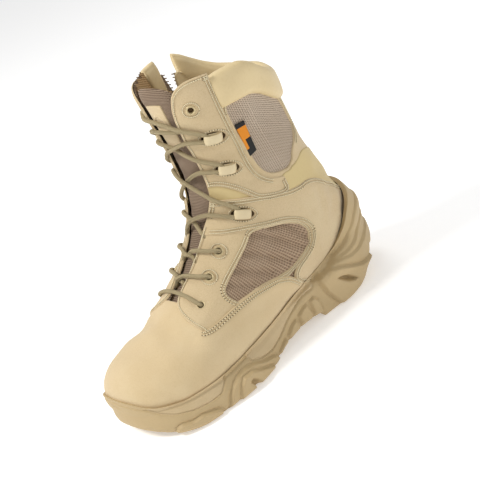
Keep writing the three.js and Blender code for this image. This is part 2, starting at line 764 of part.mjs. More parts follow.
const SIDES_BY_NAME = { outer: 1, inner: -1 };
for (const [sideName, side] of Object.entries(SIDES_BY_NAME)) {
  for (const item of LACING) {
    if (item.kind === "eyelet") addPart(`eyelet_${sideName}_${item.name}`, eyelet(side, item), METAL);
    else addPart(`loop_${sideName}_${item.name}`, loop(side, item), SAND);
  }
}

addPart("lace_bar", bar(LACING[0]), CORD);
for (let i = 0; i < LACING.length - 2; i++) {
  addPart(`lace_cross_${i + 1}`, crossing(LACING[i], LACING[i + 1]), CORD);
}

addPart("zip", zipTape(), MESH);
const sliderPlace = placeOnSkin(SLIDER.row, ZIP_ANGLE, CHAIN_HIGH + GAP);
const slider = addPart("zip_slider", zipSlider(), METAL);
slider.applyMatrix4(sliderPlace);
const pull = addPart("zip_pull", zipPull(), METAL);
pull.applyMatrix4(sliderPlace.clone().multiply(new THREE.Matrix4().makeTranslation(0, 0, PIVOT_RISE)));

export default boot;
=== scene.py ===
"""Combat boot, left foot: laced suede desert boot with mesh windows, a moulded lug sole, a padded
collar and a zip on the inner side.

The tables are in millimetres and the scene in metres. +Z is up, the toe points towards -Y and the
outer side of the foot towards +X. The boot stands empty on its heel block and forefoot studs.
"""

import math

import bpy
import numpy as np
from mathutils import Matrix, Vector
from mathutils.bvhtree import BVHTree
from mathutils.geometry import delaunay_2d_cdt
from mathutils.kdtree import KDTree


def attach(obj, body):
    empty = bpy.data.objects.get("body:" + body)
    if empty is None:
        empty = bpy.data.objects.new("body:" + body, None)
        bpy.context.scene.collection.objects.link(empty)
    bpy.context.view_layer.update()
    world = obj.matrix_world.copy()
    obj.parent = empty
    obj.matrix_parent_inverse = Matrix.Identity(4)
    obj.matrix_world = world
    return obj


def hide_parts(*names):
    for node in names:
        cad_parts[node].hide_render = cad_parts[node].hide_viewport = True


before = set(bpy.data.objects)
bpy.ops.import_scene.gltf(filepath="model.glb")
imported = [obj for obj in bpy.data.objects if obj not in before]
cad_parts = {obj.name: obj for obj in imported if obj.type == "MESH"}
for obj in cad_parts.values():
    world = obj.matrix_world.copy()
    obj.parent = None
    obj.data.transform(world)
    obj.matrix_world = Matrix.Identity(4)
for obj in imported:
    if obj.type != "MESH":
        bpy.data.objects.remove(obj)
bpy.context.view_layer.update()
MM = 0.001

# ---------------------------------------------------------------- shape of the foot and the sole
# The middle of the boot's outline, in the tables' own axes.
OUTLINE_CENTRE = np.array([0.76, 16.55, 0.0])


def curve(xs, ys):
    """A smooth line through the points. It never overshoots, and level stays level."""
    xs = np.asarray(xs, float)
    ys = np.asarray(ys, float)
    rise = np.diff(ys) / np.diff(xs)
    before = np.concatenate([rise[:1], rise])
    after = np.concatenate([rise, rise[-1:]])
    product = before * after
    slope = np.where(product > 0, 2 * product / np.where(product > 0, before + after, 1), 0)

    def value(x):
        x = np.clip(np.asarray(x, float), xs[0], xs[-1])
        i = np.clip(np.searchsorted(xs, x, side="left") - 1, 0, len(xs) - 2)
        width = xs[i + 1] - xs[i]
        t = (x - xs[i]) / width
        blend = t * t * (3 - 2 * t)
        bend = t * (1 - t) * ((1 - t) * slope[i] - t * slope[i + 1])
        return ys[i] + (ys[i + 1] - ys[i]) * blend + width * bend

    return value


def columns(names, table):
    """One curve for each named column of a table, against its first column."""
    keys = [row[0] for row in table]
    return {
        name: curve(keys, [row[i + 1] for row in table])
        for i, name in enumerate(names.split())
    }


# One row for each section of the last, from the toe to the collar: the section's front point and
# back point in side view, the x of those two, the half widths, where the section is widest as a
# share of the way from back to front, and how square its two ends are (2 is round).
LAST = columns(
    "front_y front_z back_y back_z ridge keel outer inner widest front_power back_power",
    [
        (0, -135, 36, -135, 33, -10, -10, 2, 2, 0.5, 2, 2),
        (1, -132.5, 46, -132.5, 24, -10, -10, 22, 19, 0.45, 2.1, 2.6),
        (2, -126.5, 53, -126.5, 20, -10, -9, 34, 30, 0.42, 2.1, 3),
        (3, -114, 60, -115, 18, -9, -8, 43, 40, 0.38, 2.1, 3.4),
        (4, -93, 66, -95, 17, -7, -5, 50, 46, 0.34, 2.1, 3.6),
        (5, -69, 74, -70, 17, -5, -2, 52, 47, 0.31, 2.1, 3.6),
        (6, -46, 86, -36, 18, -3, 0, 50, 45, 0.29, 2.1, 3.4),
        (7, -24, 103, 6, 22, -2, 2, 46, 42, 0.3, 2.1, 3),
        (8, -6, 122, 54, 28, -1, 2, 43, 41, 0.35, 2.1, 2.8),
        (9, 6, 141, 106, 33, -1, 1, 43, 42, 0.4, 2.1, 2.6),
        (10, 12, 160, 143, 42, -1, 0, 43, 42, 0.45, 2.2, 2.2),
        (11, 14, 177, 155.5, 65, -1, 0, 43, 42, 0.47, 2.2, 2.1),
        (12, 14, 193, 147.5, 95, -1, -1, 43, 43, 0.48, 2.2, 2),
        (13, 13, 209, 139, 125, -1, -1, 44, 44, 0.48, 2.2, 2),
        (14, 11, 225, 131.5, 155, -1, -1, 45, 45, 0.48, 2.2, 2),
        (15, 9, 243, 128, 186, -1, -1, 46.5, 47, 0.48, 2.2, 2),
        (16, 6, 265, 127, 219, -1, -1, 48, 49, 0.48, 2.2, 2),
        (17, 4, 286, 128, 250, -1, -1, 49, 50, 0.48, 2.2, 2),
    ],
)
LAST_END = 17.0

# The tread's outline seen from above, its clearance over the floor, and the sole's thick side wall.
SOLE = columns(
    "outer inner under wall slope tuck",
    [
        (-137.5, -4, -14, 14, 33, 2, 0),
        (-136, 9, -24, 12.5, 33, 2, 0),
        (-132, 21, -34, 10, 31, 2, 0),
        (-125, 33, -42, 6.5, 29, 2, 0),
        (-113.5, 44.5, -48.5, 2.5, 26, 2.5, 0),
        (-95, 53, -52, 0, 25, 3, 0),
        (-70, 57, -53, 0, 25, 3, 0),
        (-45, 57, -48, 0, 26, 3, 0),
        (-14, 52, -39, 0, 28, 2.5, 0),
        (10, 47.5, -35, 6, 30, 1, 0),
        (36, 45, -34, 8, 33, 0, 0),
        (58, 45, -36, 6, 36, 0, 0),
        (64, 45, -37, 0, 37, 0, 0),
        (90, 46, -41, 0, 42, 1, 0),
        (108, 45, -42, 0, 47, 2, 2),
        (120, 43.5, -41, 0, 52, 3, 6),
        (128, 41, -39, 0, 56, 4, 9),
        (135, 38, -36.5, 0, 59, 5, 12.5),
        (140, 35.5, -34, 3, 60, 5, 16),
        (144, 33, -31.5, 12, 60, 5, 17),
        (147, 31, -29.5, 15, 60, 5, 8),
        (154, 26, -25, 18, 60, 5, 0),
        (161, 20, -19.5, 22, 58, 5, 0),
        (167, 12.5, -12.5, 26, 54, 4, 0),
        (170.5, 6, -6.5, 31, 49, 3, 0),
        (171.5, 3, -3.5, 34, 46, 2, 0),
    ],
)
TREAD_DEPTH = 4.5
RAND = 3.4
HEEL_CUP = 9

# The line where the sole's upper edge meets the leather, and the rim of the collar, in side view.
TOP_LINE = curve(
    [-160, -138, -131, -123, -99, -70, -30, 10, 54, 80, 100, 116, 130, 142, 152, 175],
    [41, 40, 35.5, 31.5, 28, 28, 31, 35, 42, 46, 51, 61, 75, 86, 91, 93],
)
RIM = curve(
    [-10, 8, 18, 32, 55, 72, 84, 94, 104, 114, 124, 150],
    [240, 243, 249, 254, 257, 256, 251, 243, 235, 229, 226, 225],
)
RIM_TILT = 0.1
COLLAR_DEPTH = 29
WALL = 2.6


def on_last(row, degrees):
    """Points of the last: angle 0 in front, 90 on the outer side, 180 behind, 270 on the inner."""
    row, degrees = np.broadcast_arrays(np.asarray(row, float), np.asarray(degrees, float))
    angle = np.radians(degrees)
    across, along = np.sin(angle), np.cos(angle)
    power = 2 / np.where(along > 0, LAST["front_power"](row), LAST["back_power"](row))
    half = np.where(across > 0, LAST["outer"](row), LAST["inner"](row))
    widest = LAST["widest"](row)
    reach = np.where(along > 0, 1 - widest, widest)
    height = widest + reach * np.sign(along) * np.abs(along) ** power
    side = half * np.sign(across) * np.abs(across) ** power

    def between(back, front):
        return LAST[back](row) + (LAST[front](row) - LAST[back](row)) * height

    points = [between("keel", "ridge") + side, between("back_y", "front_y"), between("back_z", "front_z")]
    return np.stack(points, -1) - OUTLINE_CENTRE


def slopes(row, degrees):
    """How the last runs per row and per degree."""
    row = np.asarray(row, float)
    low = np.maximum(row - 0.05, 0.02)
    high = np.minimum(row + 0.05, LAST_END)
    upward = (on_last(high, degrees) - on_last(low, degrees)) / (high - low)[..., None]
    round_ = (on_last(row, np.asarray(degrees) + 1.5) - on_last(row, np.asarray(degrees) - 1.5)) / 3
    return upward, round_


def normals(row, degrees):
    upward, round_ = slopes(row, degrees)
    cross = np.cross(round_, upward)
    return cross / np.linalg.norm(cross, axis=-1, keepdims=True)


def skin(row, degrees, offset=0.0):
    """Points that stand off the last by an offset in millimetres."""
    offset = np.asarray(offset, float)
    return on_last(row, degrees) + normals(row, degrees) * offset[..., None]


def rim_height(points):
    """How far points are above the rim of the collar, in side view."""
    own = points + OUTLINE_CENTRE
    return own[..., 2] - RIM(own[..., 1]) + RIM_TILT * own[..., 0]


# ---------------------------------------------------------------- materials
def colour(text):
    """A scene colour from a hex colour."""
    values = [int(text[i : i + 2], 16) / 255 for i in (1, 3, 5)]
    linear = [v / 12.92 if v <= 0.04045 else ((v + 0.055) / 1.055) ** 2.4 for v in values]
    return (*linear, 1.0)


class Paint:
    """A material built node by node, from position or from a UV map laid out in millimetres."""

    def __init__(self, name, base, roughness, metallic=0.0):
        self.material = bpy.data.materials.new(name)
        self.material.use_nodes = True
        self.nodes = self.material.node_tree.nodes
        self.links = self.material.node_tree.links
        self.shader = self.nodes["Principled BSDF"]
        self.shader.inputs["Base Color"].default_value = colour(base)
        self.shader.inputs["Roughness"].default_value = roughness
        self.shader.inputs["Metallic"].default_value = metallic
        self.base = colour(base)
        self.source = None
        self.bumped = None

    def add(self, kind, **inputs):
        node = self.nodes.new(kind)
        for key, value in inputs.items():
            name = key.replace("_", " ")
            if isinstance(value, bpy.types.NodeSocket):
                self.links.new(value, node.inputs[name])
            else:
                node.inputs[name].default_value = value
        return node

    def place(self, uv=False):
        """Position in metres, or the UV map in millimetres."""
        node = self.nodes.new("ShaderNodeUVMap" if uv else "ShaderNodeTexCoord")
        return node.outputs["UV"] if uv else node.outputs["Object"]

    def maths(self, operation, a, b=0.5):
        node = self.nodes.new("ShaderNodeMath")
        node.operation = operation
        for socket, value in zip(node.inputs, (a, b)):
            if isinstance(value, bpy.types.NodeSocket):
                self.links.new(value, socket)
            else:
                socket.default_value = value
        return node.outputs[0]

    def noise(self, scale, detail=3.0, roughness=0.55, uv=False):
        node = self.add("ShaderNodeTexNoise", Vector=self.place(uv), Scale=scale, Detail=detail)
        node.inputs["Roughness"].default_value = roughness
        return node.outputs["Fac"]

    def ramp(self, value, low, high, a=0.0, b=1.0):
        node = self.add("ShaderNodeMapRange", Value=value)
        for name, number in (("From Min", low), ("From Max", high), ("To Min", a), ("To Max", b)):
            node.inputs[name].default_value = number
        return node.outputs["Result"]

    def tint(self, factor, other):
        """Mixes another colour in where factor is high."""
        node = self.nodes.new("ShaderNodeMix")
        node.data_type = "RGBA"
        self.links.new(factor, node.inputs["Factor"])
        first, second = [socket for socket in node.inputs if socket.type == "RGBA"]
        if self.source is None:
            first.default_value = self.base
        else:
            self.links.new(self.source, first)
        second.default_value = colour(other)
        self.source = next(socket for socket in node.outputs if socket.type == "RGBA")
        self.links.new(self.source, self.shader.inputs["Base Color"])
        return self

    def bump(self, height, depth, strength=1.0):
        node = self.add("ShaderNodeBump", Height=height, Distance=depth, Strength=strength)
        if self.bumped is not None:
            self.links.new(self.bumped, node.inputs["Normal"])
        self.bumped = node.outputs["Normal"]
        self.links.new(self.bumped, self.shader.inputs["Normal"])
        return self

    def bands(self, scale, axis, sharp=1.0):
        """Waves across the UV map's own axis; scale is waves per millimetre."""
        split = self.add("ShaderNodeSeparateXYZ", Vector=self.place(True))
        wave = self.maths("SINE", self.maths("MULTIPLY", split.outputs[axis], scale * 2 * math.pi))
        return self.ramp(wave, -sharp, sharp)


def suede(name, base, grain=1.0):
    paint = Paint(name, base, 0.95)
    paint.shader.inputs["Sheen Weight"].default_value = 0.25
    paint.shader.inputs["Sheen Roughness"].default_value = 0.6
    paint.tint(paint.ramp(paint.noise(38, 4), 0.35, 0.75, 0, 0.3), "#c6ae80")
    paint.tint(paint.ramp(paint.noise(900, 2), 0.45, 0.75, 0, 0.35 * grain), "#b59d70")
    paint.tint(paint.ramp(paint.noise(16, 5), 0.52, 0.8, 0, 0.3), "#e6d8b4")
    paint.bump(paint.noise(1300, 2), 0.00035 * grain)
    paint.bump(paint.noise(240, 3), 0.00035 * grain)
    return paint.material


def woven(name, base, dark, light, pitch):
    """A knitted mesh: staggered threads with small dark holes, pitch in millimetres."""
    paint = Paint(name, base, 0.9)
    across = paint.bands(1 / pitch, 0)
    along = paint.bands(1 / (pitch * 0.8), 1)
    weave = paint.maths("MULTIPLY", across, along)
    paint.tint(paint.ramp(weave, 0.25, 0.9), dark)
    paint.tint(paint.ramp(along, 0.0, 0.35, 0.6, 0.0), light)
    paint.tint(paint.ramp(paint.noise(30, 3), 0.45, 0.8, 0, 0.35), light)
    paint.bump(weave, -0.0009)
    return paint.material


SUEDE = suede("suede", "#d0ba93")
NUBUCK = suede("vamp_suede", "#d2bb92", 0.55)
THREAD = Paint("thread", "#e2d5b2", 0.8).material
# Dark discs over the needle holes: painted shade in the holes.
NEEDLE_HOLE_SHADE = Paint("needle_hole_shade", "#5f4a2e", 0.95).material
SLIT = Paint("slit_shadow", "#4c3a22", 0.95).material
MESH = woven("mesh", "#a68c72", "#7a634b", "#c2ab92", 1.7)
# The same mesh made lighter for the upper window: painted light on the higher part of the shaft.
MESH_PAINTED_LIT = woven("mesh_painted_lit", "#c0ac96", "#8d7862", "#d6c6b2", 1.7)
TONGUE_MESH = woven("tongue_mesh", "#927b66", "#65523f", "#ae9983", 1.5)
# Cloth inside the boot (lining, tongue back, insole): partly the lining's own tan, partly painted shade,
# darker and more orange than the outside.
LINING_SHADED = woven("lining", "#c39f70", "#a07f54", "#d2b489", 2.0)
BLACK_WEB = Paint("label_black", "#20201f", 0.85)
BLACK_WEB.bump(BLACK_WEB.bands(1.2, 1), 0.0001)
BLACK_WEB = BLACK_WEB.material
ORANGE_WEB = Paint("label_orange", "#e18a1d", 0.8)
ORANGE_WEB.bump(ORANGE_WEB.bands(1.2, 1), 0.0001)
ORANGE_WEB = ORANGE_WEB.material


def smooth_leather(name, base, roughness):
    paint = Paint(name, base, roughness)
    paint.tint(paint.ramp(paint.noise(22, 4), 0.4, 0.8, 0, 0.35), "#cdb383")
    paint.tint(paint.ramp(paint.noise(420, 3), 0.5, 0.8, 0, 0.15), "#b89d6e")
    paint.bump(paint.noise(700, 3), 0.0001)
    paint.bump(paint.noise(90, 2), 0.0003)
    return paint.material


SMOOTH = smooth_leather("smooth_leather", "#dcc799", 0.5)
RECESS = smooth_leather("recess_leather", "#cfba85", 0.6)
LOOP_LEATHER = smooth_leather("loop_leather", "#d9c8a2", 0.5)


def rubber(name, base):
    paint = Paint(name, base, 0.62)
    paint.tint(paint.ramp(paint.noise(30, 4), 0.4, 0.8, 0, 0.3), "#a48c61")
    paint.tint(paint.ramp(paint.noise(600, 2), 0.55, 0.8, 0, 0.2), "#98815a")
    paint.bump(paint.noise(800, 2), 0.00008)
    return paint.material


RUBBER = rubber("rubber", "#bba47a")
FOAM = rubber("midsole_foam", "#c6b089")


def braid():
    paint = Paint("lace", "#bfae87", 0.85)
    split = paint.add("ShaderNodeSeparateXYZ", Vector=paint.place(True))
    crossings = []
    for lean in (1, -1):
        slanted = paint.maths("MULTIPLY", split.outputs[0], lean * 1.0)
        phase = paint.maths("ADD", slanted, split.outputs[1])
        crossings.append(paint.maths("SINE", paint.maths("MULTIPLY", phase, 4.2)))
    weave = paint.maths("MULTIPLY", *crossings)
    paint.tint(paint.ramp(weave, -1, 0.2, 0.65, 0), "#8f7c56")
    paint.tint(paint.ramp(weave, 0.2, 1, 0, 0.5), "#d2c49e")
    paint.bump(weave, 0.0003)
    return paint.material


LACE = braid()
METAL = Paint("painted_metal", "#c9b78e", 0.42, 0.35).material
ZIP_METAL = Paint("zip_metal", "#a99a7b", 0.4, 0.6).material
TEETH = Paint("zip_teeth", "#93806a", 0.45, 0.1).material
TAPE = woven("zip_tape", "#9a8671", "#6e5b48", "#b5a18b", 1.4)


# ---------------------------------------------------------------- meshes
def add_mesh(name, points, faces, materials, body="boot", uv=None, indices=None, smooth=True):
    """A mesh object from points in millimetres that rides on a body of the boot."""
    mesh = bpy.data.meshes.new(name)
    mesh.from_pydata((np.asarray(points) * MM).tolist(), [], [list(map(int, f)) for f in faces])
    for material in materials if isinstance(materials, (list, tuple)) else [materials]:
        mesh.materials.append(material)
    if indices is not None:
        mesh.polygons.foreach_set("material_index", np.asarray(indices, np.int32))
    if uv is not None:
        layer = mesh.uv_layers.new(name="UVMap")
        corner = np.empty(len(mesh.loops), np.int32)
        mesh.loops.foreach_get("vertex_index", corner)
        layer.data.foreach_set("uv", np.asarray(uv, np.float32)[corner].ravel())
    if smooth:
        mesh.polygons.foreach_set("use_smooth", np.ones(len(mesh.polygons), bool))
    mesh.validate()
    mesh.update()
    obj = bpy.data.objects.new(name, mesh)
    bpy.context.scene.collection.objects.link(obj)
    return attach(obj, body)


def grid_faces(rows, columns, wrap=False):
    """Quads of a grid of rows by columns, with the last column joined to the first if it wraps."""
    r = np.arange(rows - 1)[:, None]
    c = np.arange(columns if wrap else columns - 1)[None, :]
    right = (c + 1) % columns
    low, high = r * columns, (r + 1) * columns
    return np.stack([low + c, low + right, high + right, high + c], -1).reshape(-1, 4)


def compact(points, faces, *extras):
    """Drops the points that no face uses."""
    used = np.unique(faces)
    remap = np.full(len(points), -1)
    remap[used] = np.arange(len(used))
    return [points[used], remap[faces]] + [extra[used] for extra in extras]


def smoothstep(value, low, high):
    t = np.clip((np.asarray(value, float) - low) / (high - low), 0, 1)
    return t * t * (3 - 2 * t)


def ripple(points, seed, wavelength, amplitude):
    """Soft unevenness: a sum of waves in different directions, in millimetres."""
    local = np.random.default_rng(seed)
    total = np.zeros(points.shape[:-1])
    for _ in range(7):
        direction = local.normal(size=3)
        direction /= np.linalg.norm(direction)
        length = wavelength * local.uniform(0.6, 1.6)
        total += np.sin(points @ direction * 2 * math.pi / length + local.uniform(0, 6.3))
    return total * amplitude / 2.6


def tube(points, radius, sides=10, flat=1.0, up=None):
    """A round tube along points, closed at both ends; returns points, faces and a UV in millimetres."""
    points = np.asarray(points, float)
    ahead = np.gradient(points, axis=0)
    ahead /= np.linalg.norm(ahead, axis=1, keepdims=True)
    side = np.cross(ahead[0], up if up is not None else (0, 0, 1.0))
    rings = []
    for point, direction in zip(points, ahead):
        side = side - direction * (side @ direction)
        side /= np.linalg.norm(side)
        other = np.cross(direction, side)
        angles = np.linspace(0, 2 * math.pi, sides, endpoint=False)
        around = np.cos(angles)[:, None] * side + flat * np.sin(angles)[:, None] * other
        rings.append(point + radius * around)
    along = np.concatenate([[0], np.cumsum(np.linalg.norm(np.diff(points, axis=0), axis=1))])
    uv = np.stack(np.meshgrid(np.arange(sides) * 2 * math.pi * radius / sides, along), -1).reshape(-1, 2)
    faces = grid_faces(len(points), sides, True).tolist()
    last_ring = (len(points) - 1) * sides
    faces.append(list(range(sides))[::-1])
    faces.append([last_ring + i for i in range(sides)])
    return np.concatenate(rings), faces, uv


class Pile:
    """Many small meshes gathered into one."""

    def __init__(self):
        self.points, self.faces, self.uv, self.kinds, self.count = [], [], [], [], 0

    def add(self, points, faces, uv=None, kind=0):
        self.points.append(np.asarray(points))
        self.faces += [[int(i) + self.count for i in face] for face in faces]
        self.uv.append(np.zeros((len(points), 2)) if uv is None else uv)
        self.kinds += [kind] * len(faces)
        self.count += len(points)

    def build(self, name, materials, body="boot", smooth=True):
        return add_mesh(
            name, np.concatenate(self.points), self.faces, materials, body,
            np.concatenate(self.uv), self.kinds, smooth,
        )


def spline(points, count):
    """A smooth line through control points."""
    points = np.asarray(points, float)
    padded = np.concatenate([[2 * points[0] - points[1]], points, [2 * points[-1] - points[-2]]])
    t = np.linspace(0, len(points) - 1, count)
    i = np.minimum(t.astype(int), len(points) - 2)
    f = (t - i)[:, None]
    a, b, c, d = (padded[i + k] for k in range(4))
    return 0.5 * (2 * b + (c - a) * f + (2 * a - 5 * b + 4 * c - d) * f**2 + (3 * b - a - 3 * c + d) * f**3)


# ---------------------------------------------------------------- folds and creases
# Soft troughs of the leather: their line as (row, angle), half width and depth in millimetres.
CREASES = [
    ([(10.9, 94), (10.5, 92.5), (10.1, 94)], 3.2, 0.8),
    ([(11.1, 103), (10.7, 103), (10.2, 103.5)], 3.4, 0.9),
    ([(11.5, 122), (11.0, 118), (10.4, 113)], 4.5, 0.9),
    ([(11.9, 140), (11.2, 134), (10.6, 128)], 5.0, 0.8),
    ([(9.9, 30), (9.6, 42), (9.55, 60)], 4.0, 0.5),
    ([(12.6, 30), (12.45, 45), (12.6, 60)], 5.0, 0.9),
    ([(10.95, 34), (10.85, 48), (11.2, 62)], 5.0, 0.8),
    ([(7.4, 14), (7.35, 28), (7.3, 44)], 3.5, 0.5),
    ([(5.0, 10), (4.75, 28), (4.9, 48)], 9.0, 0.9),
    ([(5.0, -10), (4.7, -26), (4.85, -48)], 9.0, 0.9),
    ([(4.2, 62), (4.7, 74), (5.4, 84)], 8.0, 0.7),
    ([(12.2, 176), (12.0, 150), (12.3, 128)], 6.0, 1.0),
    ([(13.6, 178), (13.5, 160), (13.8, 148)], 5.0, 0.7),
]
# Folds of the mesh in the side windows.
FOLDS = [
    ([(9.2, 66), (9.45, 78), (9.25, 92)], 2.4, 2.4),
    ([(8.75, 54), (8.9, 72), (8.95, 92)], 2.6, 2.6),
    ([(8.1, 52), (8.3, 70), (8.5, 90)], 2.7, 2.8),
    ([(7.5, 50), (7.7, 64), (8.0, 82)], 2.6, 2.6),
    ([(7.05, 50), (7.2, 60), (7.45, 72)], 2.3, 2.0),
]


# A raised bank runs along each trough: how many half widths from it, and its share of the depth.
BANK_PLACE = 1.9
BANK_HEIGHT = 0.35


def line_points(line, step=1.2):
    """Points along a smooth (row, angle) line on the last, about step millimetres apart."""
    fine = spline(line, 12 * len(line))
    points = on_last(fine[:, 0], fine[:, 1])
    length = np.linalg.norm(np.diff(points, axis=0), axis=1).sum()
    fine = spline(line, max(4, int(length / step)))
    return on_last(fine[:, 0], fine[:, 1])


def tree_of(points):
    tree = KDTree(len(points))
    for i, point in enumerate(points):
        tree.insert(point, i)
    tree.balance()
    return tree


def distance_to(points, tree):
    return np.array([tree.find(Vector(p))[2] for p in points])


def mirrored(line):
    return [(row, 360 - degrees) for row, degrees in line]


CREASE_TREES = [
    (tree_of(line_points(line)), width, depth)
    for source, width, depth in CREASES
    for line in (source, mirrored(source))
]
FOLD_TREES = [
    (tree_of(line_points(line)), width, depth)
    for source, width, depth in FOLDS
    for line in (source, mirrored(source))
]


def troughs(points, trees):
    """How deep the troughs are at points of the last."""
    total = np.zeros(len(points))
    for tree, width, depth in trees:
        distance = distance_to(points, tree)
        trough = np.exp(-((distance / width) ** 2))
        bank = np.exp(-(((distance - BANK_PLACE * width) / width) ** 2))
        total += depth * (trough - BANK_HEIGHT * bank)
    return total


# ---------------------------------------------------------------- shell of the upper
THROAT = curve(
    [5.5, 6, 6.4, 7, 8, 9, 10, 11.6, 13, 14, 14.7, 15.2, 16, 17],
    [5, 6, 7, 8.5, 12.5, 18, 21, 21.5, 19, 21, 23, 27, 34, 40],
)
THROAT_START = 5.7
ZIP_ANGLE = 270
ZIP_START = 9.5
ZIP_TOP = 14.55
FACING_END = 66


def zip_half(row):
    """Half the width of the zip's slit in degrees: parallel up to the slider and a V above it."""
    return np.where(np.asarray(row) < ZIP_START, -1, 5.0 + np.maximum(0, np.asarray(row) - ZIP_TOP) * 2.6)


def in_zip(row, degrees):
    return np.abs((np.asarray(degrees) % 360) - ZIP_ANGLE) < zip_half(row)


def in_throat(row, degrees):
    swung = np.abs((np.asarray(degrees) + 180) % 360 - 180)
    return (swung < THROAT(row)) & (np.asarray(row) > THROAT_START)


def above_seam(points, degrees):
    """Whether the collar takes over, at points of the last."""
    turned = np.asarray(degrees) % 360
    behind = (turned > FACING_END) & (turned < 360 - FACING_END)
    height = rim_height(points)
    return np.where(behind, height > -COLLAR_DEPTH + 1.0, height > 0)


def under_sole(points, margin=7.0):
    own = points + OUTLINE_CENTRE
    return own[:, 2] < TOP_LINE(own[:, 1]) - margin


def skin_uv(row, degrees):
    return np.stack([np.asarray(degrees) * 0.93, np.asarray(row) * 18.5], -1)


def shell(name, offset, row_step, angle_step, material, folded):
    rows = np.arange(0.3, 16.9, row_step)
    angles = np.arange(0, 360, angle_step)
    row, degrees = (a.ravel() for a in np.meshgrid(rows, angles, indexing="ij"))
    base = on_last(row, degrees)
    faces = grid_faces(len(rows), len(angles), True)
    # a face is kept if its middle is on the leather
    middle_row = row[faces].mean(1)
    start = degrees[faces]
    start = np.where(start.max(1, keepdims=True) - start > 180, start + 360, start)
    middle_angle = start.mean(1)
    middle = on_last(middle_row, middle_angle)
    kept = ~(
        in_throat(middle_row, middle_angle)
        | in_zip(middle_row, middle_angle)
        | above_seam(middle, middle_angle)
        | under_sole(middle, 12.0)
    )
    base, faces, row, degrees = compact(base, faces[kept], row, degrees)
    height = np.full(len(base), offset) - troughs(base, CREASE_TREES)
    if folded:
        height -= troughs(base, FOLD_TREES)
    height += ripple(base, 3, 30, 0.2)
    points = base + normals(row, degrees) * height[:, None]
    if not folded:
        faces = faces[:, ::-1]
    # Faces high up take the second material; on the fabric that is the lighter mesh, painted light.
    painted_lit_upper = (row[faces].mean(1) > 10.9).astype(int)
    return add_mesh(name, points, faces, material, uv=skin_uv(row, degrees), indices=painted_lit_upper)


fabric = shell("upper_fabric", 0.0, 0.085, 1.5, [MESH, MESH_PAINTED_LIT], True)
lining = shell("upper_lining", -WALL, 0.2, 3.0, [LINING_SHADED, LINING_SHADED], False)
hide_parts("upper")


# ---------------------------------------------------------------- panels
# The lower mesh window and the upper one, outer side, as (row, angle).
LOWER_WINDOW = [
    (8.82, 55.1), (9.13, 65.7), (9.42, 75.4), (9.58, 84.4), (9.55, 89.5), (9.36, 92.9),
    (9.06, 94.5), (8.79, 93.4),
    (8.45, 92.0), (8.1, 89), (7.81, 82), (7.45, 74.5), (7.15, 69.8), (6.86, 65.4), (6.8, 58),
    (6.86, 50.8),
    (7.1, 50.2), (7.48, 51.6), (7.95, 54), (8.42, 55.2),
]
UPPER_WINDOW = [
    (14.93, 70.3), (15.18, 78.4), (15.35, 88.5), (15.4, 103), (15.28, 116), (15.15, 129),
    (14.85, 135.5), (14.25, 138.4),
    (13.1, 108), (12.5, 100), (12.05, 90), (11.72, 80), (11.7, 74), (12.05, 70.9), (12.8, 70.4),
    (13.62, 70.6),
    (14.23, 70.2),
]
VAMP_SEAM = curve(
    [0, 12, 40, 50, 54, 58.6, 63, 67.3, 73.1, 80.3, 87.4, 95.3, 115, 180],
    [5.85, 5.85, 5.85, 5.5, 5.72, 6.16, 6.55, 6.9, 7.3, 7.66, 7.98, 8.15, 8.2, 8.2],
)
LOWER_FACING = [
    (8.55, 15.0), (8.2, 12.8), (7.76, 10.6), (7.1, 8.6), (6.77, 7.4), (6.3, 6.4), (6.0, 6.8),
    (5.78, 10),
    (5.6, 16), (5.5, 24), (5.44, 33), (5.45, 42), (5.5, 49), (5.5, 56), (6.0, 62), (6.5, 68), (7.0, 76),
    (7.6, 84), (8.0, 93), (8.6, 97), (9.1, 99), (9.55, 97), (9.85, 88), (9.65, 75), (9.3, 60),
    (9.1, 45),
    (8.9, 28),
]
BAND = [
    (8.15, 12.4), (8.8, 16.9), (9.35, 19.6), (9.62, 20.8), (9.77, 32.2), (9.96, 43),
    (10.18, 52.5), (10.4, 61.5),
    (10.61, 70.5), (11.01, 84.4), (11.35, 92), (11.62, 100), (11.8, 110), (11.76, 122),
    (11.66, 134), (11.58, 148),
    (11.5, 180), (9.0, 180), (8.5, 150), (8.2, 128), (8.1, 112), (8.14, 99), (8.4, 94.2), (8.84, 95.6),
    (9.06, 96.2), (9.4, 94.8), (9.62, 91), (9.66, 84.8), (9.48, 75), (9.2, 66), (8.94, 56.2),
    (8.7, 47.7),
    (8.36, 33.1),
]
UPPER_FACING = [
    (10.28, 22.0), (10.9, 21.2), (11.63, 21.5), (12.3, 20.4), (12.98, 19.0), (13.79, 20.6),
    (14.4, 21.8), (14.85, 24.0),
    (15.2, 27.2), (15.48, 31), (15.76, 38.2), (15.93, 45), (16.05, 52), (16.14, 60),
    (16.22, 68.6), (15.74, 68.6),
    (15.18, 67.9), (14.49, 68.2), (13.53, 67.8), (12.6, 66.6), (12.0, 66.2), (11.62, 67.6),
    (11.45, 71.6), (11.48, 78.1),
    (11.66, 85.0), (11.1, 84), (10.7, 79.5), (10.4, 70), (10.16, 60), (10.33, 52), (10.45, 42),
    (10.46, 31),
]
BORDER = [
    (15.35, 66), (15.55, 76), (15.75, 87), (15.8, 97), (15.75, 109), (15.6, 125), (15.5, 145),
    (15.45, 165),
    (15.45, 180), (13.0, 180), (13.1, 150), (13.05, 132), (12.95, 120), (12.5, 108), (12.1, 97),
    (11.6, 87),
    (11.1, 81), (11.2, 72), (11.6, 65.5), (12.4, 64.6), (13.6, 65.2), (14.6, 65.6),
]
